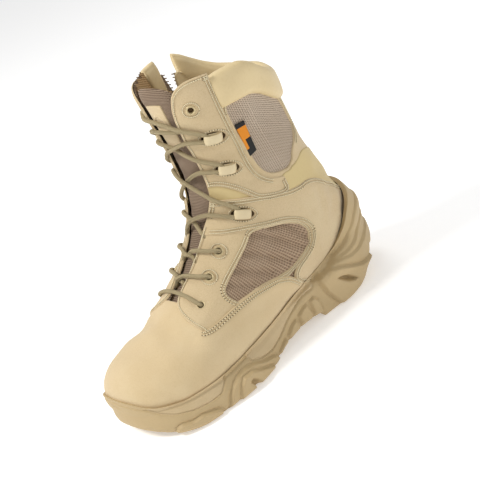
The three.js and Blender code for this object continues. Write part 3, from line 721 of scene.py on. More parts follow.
ANKLE_PAD = [
    (10.9, 76), (11.4, 80), (11.75, 85), (12.0, 91), (12.25, 97), (12.65, 107), (13.05, 118),
    (13.22, 130),
    (13.25, 150), (13.25, 180), (11.3, 180), (11.35, 145), (11.5, 122), (11.5, 110), (11.2, 97),
    (10.9, 88),
]
RECESS_PATCH = [
    (9.4, 20.6), (10.0, 21.4), (10.6, 21.2), (10.8, 32), (10.75, 48), (10.5, 62), (10.2, 66), (9.7, 45),
    (9.5, 30),
]
FLAT_ROW = 18.0  # millimetres for a row, and for a degree, where panels are laid out
FLAT_DEGREE = 0.85


def resampled(line, closed_line, step):
    """(row, angle) points a fixed step in millimetres apart along straight legs."""
    points = np.array(list(line) + ([line[0]] if closed_line else []), float)
    on = on_last(points[:, 0], points[:, 1])
    gaps = np.linalg.norm(np.diff(on, axis=0), axis=1)
    out = []
    for a, b, gap in zip(points[:-1], points[1:], gaps):
        count = max(1, int(round(gap / step)))
        out += [a + (b - a) * i / count for i in range(count)]
    if not closed_line:
        out.append(points[-1])
    return np.array(out)


def rounded(line, closed_line=True, rounds=2, keep=()):
    """Corner cutting; the corners whose numbers are in keep stay sharp."""
    points = [(tuple(p), i in keep) for i, p in enumerate(line)]
    for _ in range(rounds):
        out = []
        count = len(points)
        for i, (point, sharp) in enumerate(points):
            if sharp or (not closed_line and i in (0, count - 1)):
                out.append((point, sharp))
                continue
            before, after = np.array(points[i - 1][0]), np.array(points[(i + 1) % count][0])
            here = np.array(point)
            out.append((tuple(here + (before - here) * 0.25), False))
            out.append((tuple(here + (after - here) * 0.25), False))
        points = out
    return [p for p, _ in points]


def moved(line, distance, closed_line=True):
    """The (row, angle) line moved sideways on the last by a distance in millimetres. Positive goes to
    the left of its direction, seen from outside with the rows going up."""
    line = np.asarray(line, float)
    if closed_line:
        before, after = np.roll(line, 1, 0), np.roll(line, -1, 0)
    else:
        before = np.concatenate([line[:1], line[:-1]])
        after = np.concatenate([line[1:], line[-1:]])
    upward, round_ = slopes(line[:, 0], line[:, 1])
    normal = normals(line[:, 0], line[:, 1])
    step = after - before
    ahead = upward * step[:, :1] + round_ * step[:, 1:]
    ahead /= np.linalg.norm(ahead, axis=1, keepdims=True) + 1e-9
    wanted = np.cross(normal, ahead) * distance
    uu, ur, rr = ((a * b).sum(1) for a, b in ((upward, upward), (upward, round_), (round_, round_)))
    wu, wr = (wanted * upward).sum(1), (wanted * round_).sum(1)
    det = uu * rr - ur * ur
    return line + np.stack([(wu * rr - wr * ur) / det, (wr * uu - wu * ur) / det], -1)


def inside(points, polygon):
    """Which points lie in a closed polygon, both as (row, angle)."""
    x, y = points[:, 1], points[:, 0]
    result = np.zeros(len(points), bool)
    polygon = np.asarray(polygon)
    for (y0, x0), (y1, x1) in zip(polygon, np.roll(polygon, -1, 0)):
        crosses = (y0 > y) != (y1 > y)
        result ^= crosses & (x < (x1 - x0) * (y - y0) / (y1 - y0 + 1e-12) + x0)
    return result


STITCH_LINES = []


def seam(line, closed_line=False, level=2.4):
    """Remembers a line of stitches, as (row, angle), with the height of its thread over the last."""
    STITCH_LINES.append((np.asarray(line, float), closed_line, level))


def area_of(polygon):
    p = np.asarray(polygon) * (FLAT_ROW, FLAT_DEGREE)
    return 0.5 * np.sum(p[:, 1] * np.roll(p[:, 0], -1) - np.roll(p[:, 1], -1) * p[:, 0])


def edge_seams(outline, holes, parts, inset, level):
    """Stitches along parts of a panel's edges. parts holds (loop number, first share, last share)."""
    loops = [outline] + list(holes)
    for loop_number, first, last in parts:
        loop = resampled(loops[loop_number], True, 1.5)
        side = 1 if area_of(loop) > 0 else -1
        if loop_number:
            side = -side
        line = moved(loop, side * inset)
        count = len(line)
        picked = [line[i % count] for i in range(int(first * count), int(last * count))]
        seam(np.array(picked), False, level)


def panel(name, outline, material, level, holes=(), step=2.6, rise=1.2, cut=None, seed=1):
    """A leather panel with exact edges that roll down to what lies under it. level: its height over
    the last, as a number or a function of (row, angle)."""
    loops = [resampled(outline, True, 1.0)] + [resampled(hole, True, 1.0) for hole in holes]
    scale = np.array([FLAT_ROW, FLAT_DEGREE])
    edge_points = np.concatenate(loops)
    edge_tree = tree_of(on_last(edge_points[:, 0], edge_points[:, 1]))
    rings = []
    for number, loop in enumerate(loops):
        side = 1 if area_of(loop) > 0 else -1
        if number:
            side = -side
        for inset in (0.3, 0.8, 1.7):
            ring = moved(loop, side * inset)
            near = distance_to(on_last(ring[:, 0], ring[:, 1]), edge_tree)
            rings.append(ring[near > inset * 0.85])
    low, high = loops[0].min(0), loops[0].max(0)
    grid_rows = np.arange(low[0], high[0], step / FLAT_ROW)
    grid_angles = np.arange(low[1], high[1], step / FLAT_DEGREE)
    grid = np.stack(np.meshgrid(grid_rows, grid_angles, indexing="ij"), -1)
    grid[1::2, :, 1] += step / FLAT_DEGREE / 2
    grid = grid.reshape(-1, 2)
    grid = grid[inside(grid, loops[0])]
    near = distance_to(on_last(grid[:, 0], grid[:, 1]), edge_tree)
    free = np.concatenate([grid[near > 2.6]] + rings)
    points = np.concatenate([edge_points, free])
    edges = []
    start = 0
    for loop in loops:
        edges += [(start + i, start + (i + 1) % len(loop)) for i in range(len(loop))]
        start += len(loop)
    flat = [Vector(p) for p in (points * scale)[:, ::-1].tolist()]
    result = delaunay_2d_cdt(flat, edges, [], 0, 1e-5)
    flat_points = np.array([tuple(v) for v in result[0]])[:, ::-1] / scale
    faces = np.array([f for f in result[2] if len(f) == 3])
    middle = flat_points[faces].mean(1)
    keep = inside(middle, loops[0])
    for hole in loops[1:]:
        keep &= ~inside(middle, hole)
    if cut is not None:
        keep &= ~cut(middle[:, 0], middle[:, 1])
    flat_points, faces = compact(flat_points, faces[keep])
    row, degrees = flat_points[:, 0], flat_points[:, 1]
    base = on_last(row, degrees)
    distance = distance_to(base, edge_tree)
    height = level(row, degrees) if callable(level) else np.full(len(base), float(level))
    rolled = np.sqrt(np.clip(1 - (1 - np.clip(distance / 0.9, 0, 1)) ** 2, 0, 1))
    height = height - (rise + 0.5) * (1 - rolled)
    height -= troughs(base, CREASE_TREES)
    if STITCH_TREE[0] is not None:
        height -= 0.38 * np.exp(-((distance_to(base, STITCH_TREE[0]) / 1.1) ** 2))
    height += ripple(base, 3, 30, 0.2) + ripple(base, seed, 14, 0.1)
    shown = base + normals(row, degrees) * height[:, None]
    flip = np.cross(shown[faces[:, 1]] - shown[faces[:, 0]], shown[faces[:, 2]] - shown[faces[:, 0]])
    inward = (flip * normals(row, degrees)[faces[:, 0]]).sum(1) < 0
    faces[inward] = faces[inward][:, ::-1]
    obj = add_mesh(name, shown, faces, material, uv=skin_uv(row, degrees))
    return obj


STITCH_TREE = [None]
SHAPES = {
    "recess": rounded(RECESS_PATCH, keep=range(len(RECESS_PATCH))),
    "lower_facing": rounded(LOWER_FACING, keep=(0,)),
    "border": rounded(BORDER, keep=(0, 8, 9)),
    "ankle_pad": rounded(ANKLE_PAD, keep=(9, 10)),
    "upper_facing": rounded(UPPER_FACING, keep=(0, 14, 24)),
    "band": rounded(BAND, keep=(0, 3, 16, 17)),
    "lower_window": rounded(LOWER_WINDOW, keep=(13,)),
    "upper_window": rounded(UPPER_WINDOW, keep=(7,)),
}
# Lace holes, from the toe up. A punched hole has an eyelet, the others carry a leather loop.
LACING = [
    ("1", 6.12, 34.9, "eyelet"), ("2", 6.98, 32, "eyelet"), ("3", 7.85, 33.8, "eyelet"),
    ("4", 9.4, 47.6, "loop"), ("5", 11.62, 46, "loop"), ("6", 13.4, 48.2, "loop"),
    ("7", 14.86, 42, "eyelet"),
]


def ring_on_skin(row, degrees, along, across, lean=0.0, count=28):
    """An oval on the last, as (row, angle), with half lengths across and along the boot in mm."""
    upward, round_ = slopes(np.array([row]), np.array([degrees]))
    upward, round_ = upward[0], round_[0]
    sideways = round_ / np.linalg.norm(round_)
    climb = upward - sideways * (upward @ sideways)
    climb /= np.linalg.norm(climb)
    out = []
    for t in np.linspace(0, 2 * math.pi, count, endpoint=False):
        a, b = across * math.cos(t), along * math.sin(t)
        x = a * math.cos(lean) - b * math.sin(lean)
        y = a * math.sin(lean) + b * math.cos(lean)
        wanted = sideways * x + climb * y
        matrix = np.array([[upward @ upward, upward @ round_], [upward @ round_, round_ @ round_]])
        step = np.linalg.solve(matrix, np.array([wanted @ upward, wanted @ round_]))
        out.append((row + step[0], degrees + step[1]))
    return out


LOOP_LEAN = 0.28
EYELET_HOLES = [
    ring_on_skin(row, degrees, 2.9, 2.9, count=20)
    for _, row, degrees, kind in LACING
    if kind == "eyelet"
]
SLITS = [
    ring_on_skin(row, degrees, 4.6, 10.2, LOOP_LEAN)
    for _, row, degrees, kind in LACING
    if kind == "loop"
]


def holes_in(outline, candidates):
    return [hole for hole in candidates if inside(np.array([hole[0]]), outline)[0]]


# Stitches: double rows along the main edges, and ovals round the holes and the slits.
def plan_seams():
    for inset in (1.9, 4.3):
        edge_seams(SHAPES["lower_facing"], [SHAPES["lower_window"]], [(1, 0.0, 1.0)], inset, 1.75)
        edge_seams(SHAPES["band"], [], [(0, 0.035, 0.4), (0, 0.64, 0.99)], inset, 2.75)
        edge_seams(SHAPES["upper_facing"], [], [(0, 0.34, 0.72), (0, 0.76, 1.0)], inset, 2.75)
        edge_seams(SHAPES["border"], [SHAPES["upper_window"]], [(1, 0.0, 0.52)], inset, 1.75)
    edge_seams(SHAPES["border"], [], [(0, 0.0, 0.36)], 2.2, 1.75)
    edge_seams(SHAPES["upper_facing"], [], [(0, 0.0, 0.34)], 2.2, 2.75)
    edge_seams(SHAPES["lower_facing"], [], [(0, 0.0, 0.3)], 2.2, 2.9)
    for _, row, degrees, kind in LACING:
        if kind == "eyelet":
            seam(ring_on_skin(row, degrees, 6.4, 6.8), True, 2.75 if row > 8.2 else 1.9)
        else:
            seam(ring_on_skin(row, degrees, 6.6, 12.6, LOOP_LEAN, 36), True, 2.8)
    for inset in (-2.0, -4.4):
        angles = np.arange(50, 112, 1.0)
        line = np.stack([VAMP_SEAM(angles), angles], -1)
        seam(moved(line, inset, False), False, 2.9)


plan_seams()
OUTER_SEAMS = list(STITCH_LINES)
for line, loop, level in OUTER_SEAMS:
    other = line.copy()
    other[:, 1] = 360 - other[:, 1]
    STITCH_LINES.append((other[::-1], loop, level))


def seam_points():
    gathered = []
    for line, loop, _ in STITCH_LINES:
        fine = resampled(line, loop, 1.0)
        gathered.append(on_last(fine[:, 0], fine[:, 1]))
    return np.concatenate(gathered)


STITCH_TREE[0] = tree_of(seam_points())


def zip_cut(row, degrees):
    return in_zip(row, degrees)


def lower_level(row, degrees):
    swung = np.abs((np.asarray(degrees) + 180) % 360 - 180)
    tab = 1 - smoothstep(row, 6.1, 7.2)
    return 1.35 + 1.3 * tab * (1 - smoothstep(swung, 44, 54))


PANELS = [
    ("recess_patch", "recess", RECESS, 0.6, "smooth_leather", []),
    ("lower_facing", "lower_facing", SUEDE, lower_level, "suede", ["lower_window"]),
    ("window_border", "border", SUEDE, 1.35, "suede", ["upper_window"]),
    ("ankle_pad", "ankle_pad", RECESS, 2.0, "smooth_leather", []),
    ("upper_facing", "upper_facing", SUEDE, 2.4, "suede", []),
    ("ankle_band", "band", SUEDE, 2.4, "suede", []),
]
for panel_number, (name, shape, material, level, slotname, windows) in enumerate(PANELS):
    outline = SHAPES[shape]
    holes = [SHAPES[window] for window in windows]
    if shape in ("lower_facing", "upper_facing"):
        holes += holes_in(outline, EYELET_HOLES)
    if shape in ("band", "upper_facing"):
        holes += holes_in(outline, SLITS)
    rise = 1.2 if shape != "recess" else 0.6
    for side_name, flip in (("outer", False), ("inner", True)):
        lines = [mirrored(line) if flip else line for line in [outline] + holes]
        panel(
            f"{name}_{side_name}", lines[0], material, level, lines[1:], rise=rise,
            cut=zip_cut if flip else None, seed=20 + panel_number + 10 * flip,
        )


def vamp():
    """The big toe piece, with its edge lying over the quarters on both sides."""
    angles = np.arange(-150, 150.1, 1.5)
    shares = np.concatenate([np.linspace(0, 0.94, 96), np.linspace(0.95, 0.99, 7), [0.994, 0.998, 1.0]])
    edge = VAMP_SEAM(np.abs(angles))
    row = 0.25 + (edge[None, :] - 0.25) * shares[:, None]
    degrees = np.broadcast_to(angles, row.shape)
    row, degrees = row.ravel(), degrees.ravel().copy()
    base = on_last(row, degrees)
    faces = grid_faces(len(shares), len(angles))
    kept = ~under_sole(base[faces].mean(1))
    base, faces, row, degrees = compact(base, faces[kept], row, degrees)
    edge_line = on_last(edge, angles)
    distance = distance_to(base, tree_of(edge_line))
    swung = np.abs(degrees)
    over = smoothstep(swung, 47, 55) * (1 - smoothstep(distance, 5, 16))
    rolled = np.sqrt(np.clip(1 - (1 - np.clip(distance / 0.9, 0, 1)) ** 2, 0, 1))
    height = 1.3 + 1.25 * over - 1.8 * (1 - rolled)
    height -= troughs(base, CREASE_TREES)
    height -= 0.38 * np.exp(-((distance_to(base, STITCH_TREE[0]) / 1.1) ** 2)) * (swung > 47)
    height += ripple(base, 3, 30, 0.2) + ripple(base, 5, 55, 0.35)
    points = base + normals(row, degrees) * height[:, None]
    obj = add_mesh("vamp", points, faces, NUBUCK, uv=skin_uv(row, degrees))
    return obj


vamp()


# ---------------------------------------------------------------- stitches
STITCH_PITCH = 3.2
THREAD_LENGTH = 1.9
NEEDLE_RADIUS = 0.62
NEEDLE_LIFT = 0.1
PLACKET_REACH = 18  # degrees either side of the zip that its leather strips cover


def stitches():
    """Short threads along every seam, with a dark disc of painted shade over the needle hole at each end.
    """
    pile = Pile()
    pitch, thread = STITCH_PITCH, THREAD_LENGTH
    capsule_x = np.array([-1.0, -0.72, 0.72, 1.0]) * thread / 2
    capsule_r = np.array([0.1, 0.44, 0.44, 0.1])
    turn = np.linspace(0, 2 * math.pi, 5, endpoint=False)
    disc = np.linspace(0, 2 * math.pi, 6, endpoint=False)
    for line, loop, level in STITCH_LINES:
        fine = resampled(line, loop, pitch)
        if len(fine) < 3:
            continue
        base = on_last(fine[:, 0], fine[:, 1])
        normal = normals(fine[:, 0], fine[:, 1])
        height = level - troughs(base, CREASE_TREES) - 0.12 + ripple(base, 3, 30, 0.2)
        points = base + normal * height[:, None]
        for i in range(len(points) - 1):
            beside_zip = fine[i][0] > ZIP_START and abs(fine[i][1] % 360 - ZIP_ANGLE) < PLACKET_REACH
            if beside_zip or np.linalg.norm(points[i + 1] - points[i]) > 2 * pitch:
                continue
            middle = (points[i] + points[i + 1]) / 2
            ahead = points[i + 1] - points[i]
            ahead /= np.linalg.norm(ahead)
            side = np.cross(normal[i], ahead)
            side /= np.linalg.norm(side)
            rings = [
                middle + ahead * x + r * (np.cos(turn)[:, None] * side + np.sin(turn)[:, None] * normal[i])
                for x, r in zip(capsule_x, capsule_r)
            ]
            pile.add(np.concatenate(rings), grid_faces(4, 5, True))
            # a dark disc of painted shade over the needle hole
            rim = np.cos(disc)[:, None] * ahead + np.sin(disc)[:, None] * side
            hole = points[i] + NEEDLE_LIFT * normal[i] + NEEDLE_RADIUS * rim
            pile.add(hole, [list(range(6))], kind=1)
    return pile.build("stitches", [THREAD, NEEDLE_HOLE_SHADE])


stitches()


# ---------------------------------------------------------------- sole
def heel_cup(row, degrees):
    """How much thicker the sole's edge is where it climbs the back of the heel."""
    behind = np.maximum(0, -np.cos(np.radians(degrees)))
    return HEEL_CUP * behind * smoothstep(row, 8.8, 10.2) * (1 - 0.6 * smoothstep(row, 10.6, 12))


def sole_body():
    """A search tree of the plain sole: the block with its sloping walls, and the cup on the leather."""
    rows, angles = np.arange(0.3, 12.8, 0.1), np.arange(0, 360, 3)
    row, degrees = (a.ravel() for a in np.meshgrid(rows, angles, indexing="ij"))
    points = [skin(row, degrees, RAND + heel_cup(row, degrees))]
    faces = grid_faces(len(rows), len(angles), True).tolist()
    stations = np.concatenate([
        np.linspace(-137.5, -120, 30), np.linspace(-119, 135, 130), np.linspace(136, 171.5, 50)
    ])
    outer, inner, low = SOLE["outer"](stations), SOLE["inner"](stations), SOLE["under"](stations)
    high, slope, tuck = SOLE["wall"](stations), SOLE["slope"](stations), SOLE["tuck"](stations)
    bevel = np.minimum(3, (outer - inner) * 0.2)
    step = np.maximum(low + 7, 16)
    profile = [
        (bevel + tuck, low), (tuck, low + 4), (np.zeros(len(stations)), step), (slope * 0.6, high - 5),
        (slope + bevel * 0.5, high),
    ]
    starts = []
    for side, edge in ((1, outer), (-1, inner)):
        start = sum(len(p) for p in points)
        starts.append(start)
        for inset, height in profile:
            points.append(np.stack([edge - side * inset, stations, height], -1) - OUTLINE_CENTRE)
        faces += (grid_faces(len(profile), len(stations)) + start).tolist()
    # the two sides are joined at the toe and behind the heel
    count = len(stations)
    for level in range(len(profile) - 1):
        for end in (0, count - 1):
            low_end, high_end = level * count + end, (level + 1) * count + end
            outer_edge = [starts[0] + low_end, starts[0] + high_end]
            faces.append(outer_edge + [starts[1] + high_end, starts[1] + low_end])
    return BVHTree.FromPolygons(np.concatenate(points).tolist(), faces)


# The wall of the sole in side view. Each line is y and z in millimetres; what lies below it stands
# out by a step, with a fine groove along the line.
SWEEPS = [
    ([(60, 36), (76.6, 46), (96, 45), (112, 48), (128, 57), (140, 67), (155, 74), (175, 78)], 1.3),
    ([(62, 34), (78.3, 44), (96, 42.5), (110, 42), (126, 44), (142, 50), (158, 56), (175, 58)], 1.4),
    ([(72, 35), (88, 42), (100, 40), (112, 36.5), (126, 35.5), (144, 37), (160, 38.5), (175, 39)], 1.3),
]
# Raised pods and lugs and the hollows in them: their outline and how far they stand out.
PODS = [
    ([(-76, -4), (-73, 4), (-69, 11.5), (-62, 17), (-55, 20.3), (-45, 21.8), (-34.5, 19.7), (-22, 13.3),
      (-9, 9.2), (-5, 4), (-9, -4)], 2.0),
    ([(-64, -4), (-60, 8), (-57, 13.2), (-52, 17.6), (-41.7, 17.4), (-31, 11.3), (-17, 5), (-14, -4)], 1.9),
    ([(-49, 10.5), (-45, 12.6), (-40, 8.0), (-35.5, -4), (-42, -4), (-45, 3)], -4.6),
    ([(-120, 5), (-118.5, 9.5), (-115, 11.5), (-107, 10), (-99, 11.5), (-90, 9.5), (-82, 7), (-80, 3),
      (-82, -4), (-104, -4), (-113, -4)], 2.2),
    ([(-1, -4), (-3, 7), (3.5, 10.2), (10, 13), (12, 9), (12, -4)], 1.6),
    ([(15, -4), (14, 13.4), (22, 18), (29, 20), (31, 12), (31, -4)], 1.6),
    ([(34, -4), (33, 20.5), (40, 24), (46, 25), (48, 15), (48, -4)], 1.6),
    ([(51, -4), (50, 25), (56, 26), (60, 20), (62, -4)], 1.6),
    ([(65.8, 36.5), (72, 40), (80.5, 40.4), (92, 36), (105, 28.5), (120, 21), (138, 16.5), (156, 15),
      (175, 15), (175, -4), (85, -4), (77, 10.2), (71.5, 20)], 2.6),
    ([(83, 29.2), (90, 27.6), (98, 23.6), (104, 18), (110, 12), (103, 13.2), (96, 16.6), (88, 24)], -5.0),
]
# Fine seams where the softer midsole shows in the two side windows.
LENSES = [
    [(-131, 33), (-127, 28.8), (-122.8, 24.9), (-115.3, 20.8), (-103, 17.8), (-87.4, 16.3), (-76, 16.8),
     (-69, 20.5), (-63, 27), (-60, 31)],
    [(-38, 30), (-33.7, 21.4), (-21, 15.9), (-9.5, 14.2), (5, 17), (22, 25), (32, 28.4), (39, 31),
     (47, 32.6), (59, 33), (66, 40), (68, 46)],
]


def outline_distance(u, v, polygon):
    """Distance inside a closed outline, negative outside it."""
    polygon = np.asarray(polygon, float)
    best = np.full(u.shape, 1e9)
    within = np.zeros(u.shape, bool)
    for (x0, y0), (x1, y1) in zip(polygon, np.roll(polygon, -1, 0)):
        dx, dy = x1 - x0, y1 - y0
        t = np.clip(((u - x0) * dx + (v - y0) * dy) / (dx * dx + dy * dy + 1e-9), 0, 1)
        best = np.minimum(best, np.hypot(u - x0 - t * dx, v - y0 - t * dy))
        crosses = (y0 > v) != (y1 > v)
        within ^= crosses & (u < dx * (v - y0) / (dy + 1e-12) + x0)
    return np.where(within, best, -best)


def line_distance(u, v, line):
    line = np.asarray(line, float)
    best = np.full(u.shape, 1e9)
    for (x0, y0), (x1, y1) in zip(line[:-1], line[1:]):
        dx, dy = x1 - x0, y1 - y0
        t = np.clip(((u - x0) * dx + (v - y0) * dy) / (dx * dx + dy * dy), 0, 1)
        best = np.minimum(best, np.hypot(u - x0 - t * dx, v - y0 - t * dy))
    return best


def in_lens(y, z):
    result = np.zeros(y.shape, bool)
    for lens in LENSES:
        low = curve([p[0] for p in lens], [p[1] for p in lens])(y)
        result |= (y > lens[0][0] + 2) & (y < lens[-1][0] - 2) & (z > low)
    return result


def wall_relief(y, z):
    """How far the moulded wall stands out of the plain one, at side view places."""
    relief = np.zeros(y.shape)
    for line, step in SWEEPS:
        xs, ys = [p[0] for p in line], [p[1] for p in line]
        gap = curve(xs, ys)(y) - z
        begun = smoothstep(y, xs[0], xs[0] + 14)
        relief += begun * (step * smoothstep(gap, 0, 2.6) - 0.5 * np.exp(-((gap / 0.9) ** 2)))
        relief -= begun * step * smoothstep(gap, 6, 24) * 0.75
    for polygon, height in PODS:
        depth = outline_distance(y, z, polygon)
        edge = 1.8 if height > 0 else 2.6
        relief += height * smoothstep(depth, -0.4, edge)
        relief -= 0.6 * np.exp(-(((depth + 0.6) / 0.8) ** 2)) * (height > 0)
    for lens in LENSES:
        relief -= 0.75 * np.exp(-((line_distance(y, z, lens) / 0.75) ** 2))
    relief -= 0.5 * in_lens(y, z)
    top_gap = TOP_LINE(y) - z
    relief -= 0.45 * np.exp(-(((top_gap - 3.4) / 0.8) ** 2)) * (1 - smoothstep(y, 60, 90))
    return relief * 1.35


# ---------------------------------------------------------------- tread
WALL_CAST = 40  # how far outside its outline the sole's wall is looked for
STUDS = [
    (-8, -117, 6), (16, -107, 6), (-28, -104, 6), (-6, -94, 8), (26, -84, 7), (-31, -80, 7),
    (-2, -74, 8),
    (30, -61, 7), (-27, -56, 6), (3, -50, 8), (29, -36, 6), (-10, -32, 6), (10, 94, 8), (-13, 86, 7),
    (-10, 110, 8), (13, 117, 6), (14, -128, 4), (-22, -122, 4), (10, -66, 4), (-17, -66, 4),
    (8, -30, 4),
]
EDGE_GROOVES = [
    -128, -119, -104, -92, -78, -66, -50, -38, -27, -18, -8, 1, 13, 22, 32, 41, 49, 62, 76, 92,
    108, 122,
]
EDGE_BAND = 12.5
HEEL_POD = [(-14, 66), (-8, 56), (6, 53), (18, 58), (22, 68), (14, 78), (0, 80), (-10, 76)]


def tread_relief(x, y, from_edge):
    """Height of the tread over its own lowest face, from the plan view."""
    web = TREAD_DEPTH * smoothstep(from_edge, EDGE_BAND - 1.0, EDGE_BAND + 0.6)
    web = np.where((y > 0) & (y < 66), 2.2 * smoothstep(from_edge, 7, 9), web)
    for groove in EDGE_GROOVES:
        slant = (np.abs(x) - 36) * 0.25
        cut = np.exp(-((np.abs(y + slant - groove) / 1.1) ** 4))
        web = np.maximum(web, 3.4 * cut * (from_edge < EDGE_BAND))
    ribs = 0.35 * (np.sin(y * 2 * math.pi / 2.6) > 0.2) * (from_edge < 9) * (from_edge > 1)
    web += ribs
    for cx, cy, radius in STUDS:
        distance = np.hypot(x - cx, y - cy)
        dome = smoothstep(radius - distance, -0.4, 0.8)
        ring = np.exp(-(((distance - radius * 0.62) / 0.5) ** 2)) * 0.8
        dot = np.exp(-((distance / (radius * 0.2)) ** 2)) * 0.8
        web = np.where(dome > 0, web * (1 - dome) + (ring + dot) * dome, web)
    for lean in (1, -1):
        arm = np.abs((x - 5) - lean * (y - 33) * 0.62) / 1.18
        beam = (1 - smoothstep(arm, 3.2, 4.4)) * (np.abs(y - 33) < 31)
        web = np.where(beam > 0, web * (1 - beam) + 0.8 * beam, web)
    pod = outline_distance(x, y, HEEL_POD)
    ring = np.exp(-((pod / 1.3) ** 2))
    grid = 0.9 * ((np.sin(x * 1.4) > 0.3) | (np.sin(y * 1.4) > 0.3))
    web = np.where(pod > 0, 2.4 - grid, web)
    web = web * (1 - ring) + 0.5 * ring
    for radius in (20, 27):
        arc = np.abs(np.hypot(x + 8, (y + 98) * 1.1) - radius) < 0.9
        web = np.where(arc & (y < -106) & (from_edge > EDGE_BAND - 6), np.maximum(web, 1.6), web)
    return np.clip(web, 0, TREAD_DEPTH)


def wall_reach(body, spot, outward, z):
    """How far the plain sole's wall lies outside a spot of its outline, at a height."""
    direction = Vector((-outward[0], -outward[1], 0))
    start = Vector((spot[0] - OUTLINE_CENTRE[0], spot[1] - OUTLINE_CENTRE[1], z))
    start -= direction * WALL_CAST
    hit = body.ray_cast(start, direction, 90)[0]
    return np.nan if hit is None else WALL_CAST - (hit - start).length


def sole_mesh():
    body = sole_body()
    stations = np.concatenate([
        np.linspace(-137.5, -132, 24), np.linspace(-131.5, 150, 560), np.linspace(150.5, 171.5, 60)
    ])
    loop = [(SOLE["outer"](y), y) for y in stations] + [(SOLE["inner"](y), y) for y in stations[::-1]]
    loop = np.array(loop, float)
    length = np.concatenate([[0], np.cumsum(np.linalg.norm(np.diff(loop, axis=0), axis=1))])
    count = 760
    along = np.linspace(0, length[-1], count, endpoint=False)
    plan = np.stack([np.interp(along, length, loop[:, 0]), np.interp(along, length, loop[:, 1])], -1)
    tangent = np.roll(plan, -5, 0) - np.roll(plan, 5, 0)
    tangent /= np.linalg.norm(tangent, axis=1, keepdims=True)
    outward = np.stack([tangent[:, 1], -tangent[:, 0]], -1)
    if (outward * plan)[:, 0].sum() < 0:
        outward = -outward
    levels = 84
    shares = np.linspace(0, 1, levels)
    low = SOLE["under"](plan[:, 1])
    high = TOP_LINE(plan[:, 1])
    wall = np.zeros((levels, count, 3))
    reach = np.zeros((levels, count))
    for c in range(count):
        top = wall_reach(body, plan[c], outward[c], low[c] + 0.05 + (high[c] - low[c] - 0.1))
        top = 0.0 if np.isnan(top) else top
        high[c] = TOP_LINE(plan[c, 1] + outward[c, 1] * top)
        for k in range(levels):
            z = low[c] + 0.05 + (high[c] - low[c] - 0.1) * shares[k]
            reach[k, c] = wall_reach(body, plan[c], outward[c], z)
            wall[k, c, 2] = z
    for k in range(levels - 2, -1, -1):
        missed = np.isnan(reach[k]) | (reach[k] < reach[k + 1] - 8)
        reach[k, missed] = reach[k + 1, missed]
    smooth = reach.copy()
    for _ in range(3):
        smooth[1:-1] = (smooth[:-2] + 2 * smooth[1:-1] + smooth[2:]) / 4
        smooth = (np.roll(smooth, 1, 1) + 2 * smooth + np.roll(smooth, -1, 1)) / 4
    reach[:] = smooth
    side_y = plan[None, :, 1] + outward[None, :, 1] * np.minimum(reach, 6)
    side_z = wall[:, :, 2]
    relief = wall_relief(side_y, side_z)
    fade = smoothstep(shares, 0.0, 0.05)[:, None] * (1 - smoothstep(shares, 0.95, 1.0))[:, None]
    relief = relief * np.maximum(fade, 0.25)
    total = reach + relief
    wall[:, :, 0] = plan[None, :, 0] + outward[None, :, 0] * total - OUTLINE_CENTRE[0]
    wall[:, :, 1] = plan[None, :, 1] + outward[None, :, 1] * total - OUTLINE_CENTRE[1]
    # the lip turns in to the leather
    lips = []
    for inward, drop in ((0.8, 0.15), (2.2, 0.9), (4.2, 1.6)):
        lip = wall[-1].copy()
        lip[:, 0] -= outward[:, 0] * inward
        lip[:, 1] -= outward[:, 1] * inward
        lip[:, 2] -= drop
        lips.append(lip)
    wall = np.concatenate([wall, np.array(lips)])
    # the tread runs from the wall's foot in to the middle line
    middle_y = np.clip(plan[:, 1], -112, 128)
    middle = np.stack([(SOLE["outer"](middle_y) + SOLE["inner"](middle_y)) / 2, middle_y], -1)
    foot = wall[0, :, :2] + OUTLINE_CENTRE[:2]
    rings = 58
    tread = []
    for i in range(1, rings + 1):
        share = (i / rings) ** 0.92
        spot = foot * (1 - share) + middle * share
        from_edge = np.linalg.norm(spot - foot, axis=1)
        clearance = SOLE["under"](spot[:, 1])
        height = clearance + tread_relief(spot[:, 0], spot[:, 1], from_edge)
        tread.append(np.stack([spot[:, 0] - OUTLINE_CENTRE[0], spot[:, 1] - OUTLINE_CENTRE[1], height], -1))
    return wall, np.array(tread)


sole_wall, sole_tread = sole_mesh()


def build_sole():
    levels, count = sole_wall.shape[:2]
    stacked = np.concatenate([sole_tread[::-1], sole_wall])
    points = stacked.reshape(-1, 3)
    faces = grid_faces(len(stacked), count, True)
    middle = points[faces].mean(1) + OUTLINE_CENTRE
    first_wall = len(sole_tread) * count
    below_lip = faces[:, 2] < (len(stacked) - 3) * count
    soft = (faces.min(1) >= first_wall) & below_lip & in_lens(middle[:, 1], middle[:, 2])
    outward = np.cross(points[faces[:, 1]] - points[faces[:, 0]], points[faces[:, 3]] - points[faces[:, 0]])
    wall_faces = faces.min(1) >= first_wall
    if (outward[wall_faces] * (points[faces[wall_faces, 0]] * (1, 0.2, 0))).sum() < 0:
        faces = faces[:, ::-1]
    for name, chosen, material, node in (
        ("outsole_rubber", ~soft, RUBBER, "outsole"),
        ("midsole_windows", soft, FOAM, "midsole"),
    ):
        some, few = compact(points, faces[chosen])
        obj = add_mesh(name, some, few, material, uv=some[:, 1:3])
        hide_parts(node)


build_sole()


# ---------------------------------------------------------------- collar
def row_at(degrees, wanted, low=9.0, high=16.95):
    """The row where a measure of the last's points, growing with the row, crosses zero."""
    low = np.full(len(degrees), low)
    high = np.full(len(degrees), high)
    for _ in range(28):
        middle = (low + high) / 2
        over = wanted(on_last(middle, degrees)) > 0
        high = np.where(over, middle, high)
        low = np.where(over, low, middle)
    return (low + high) / 2


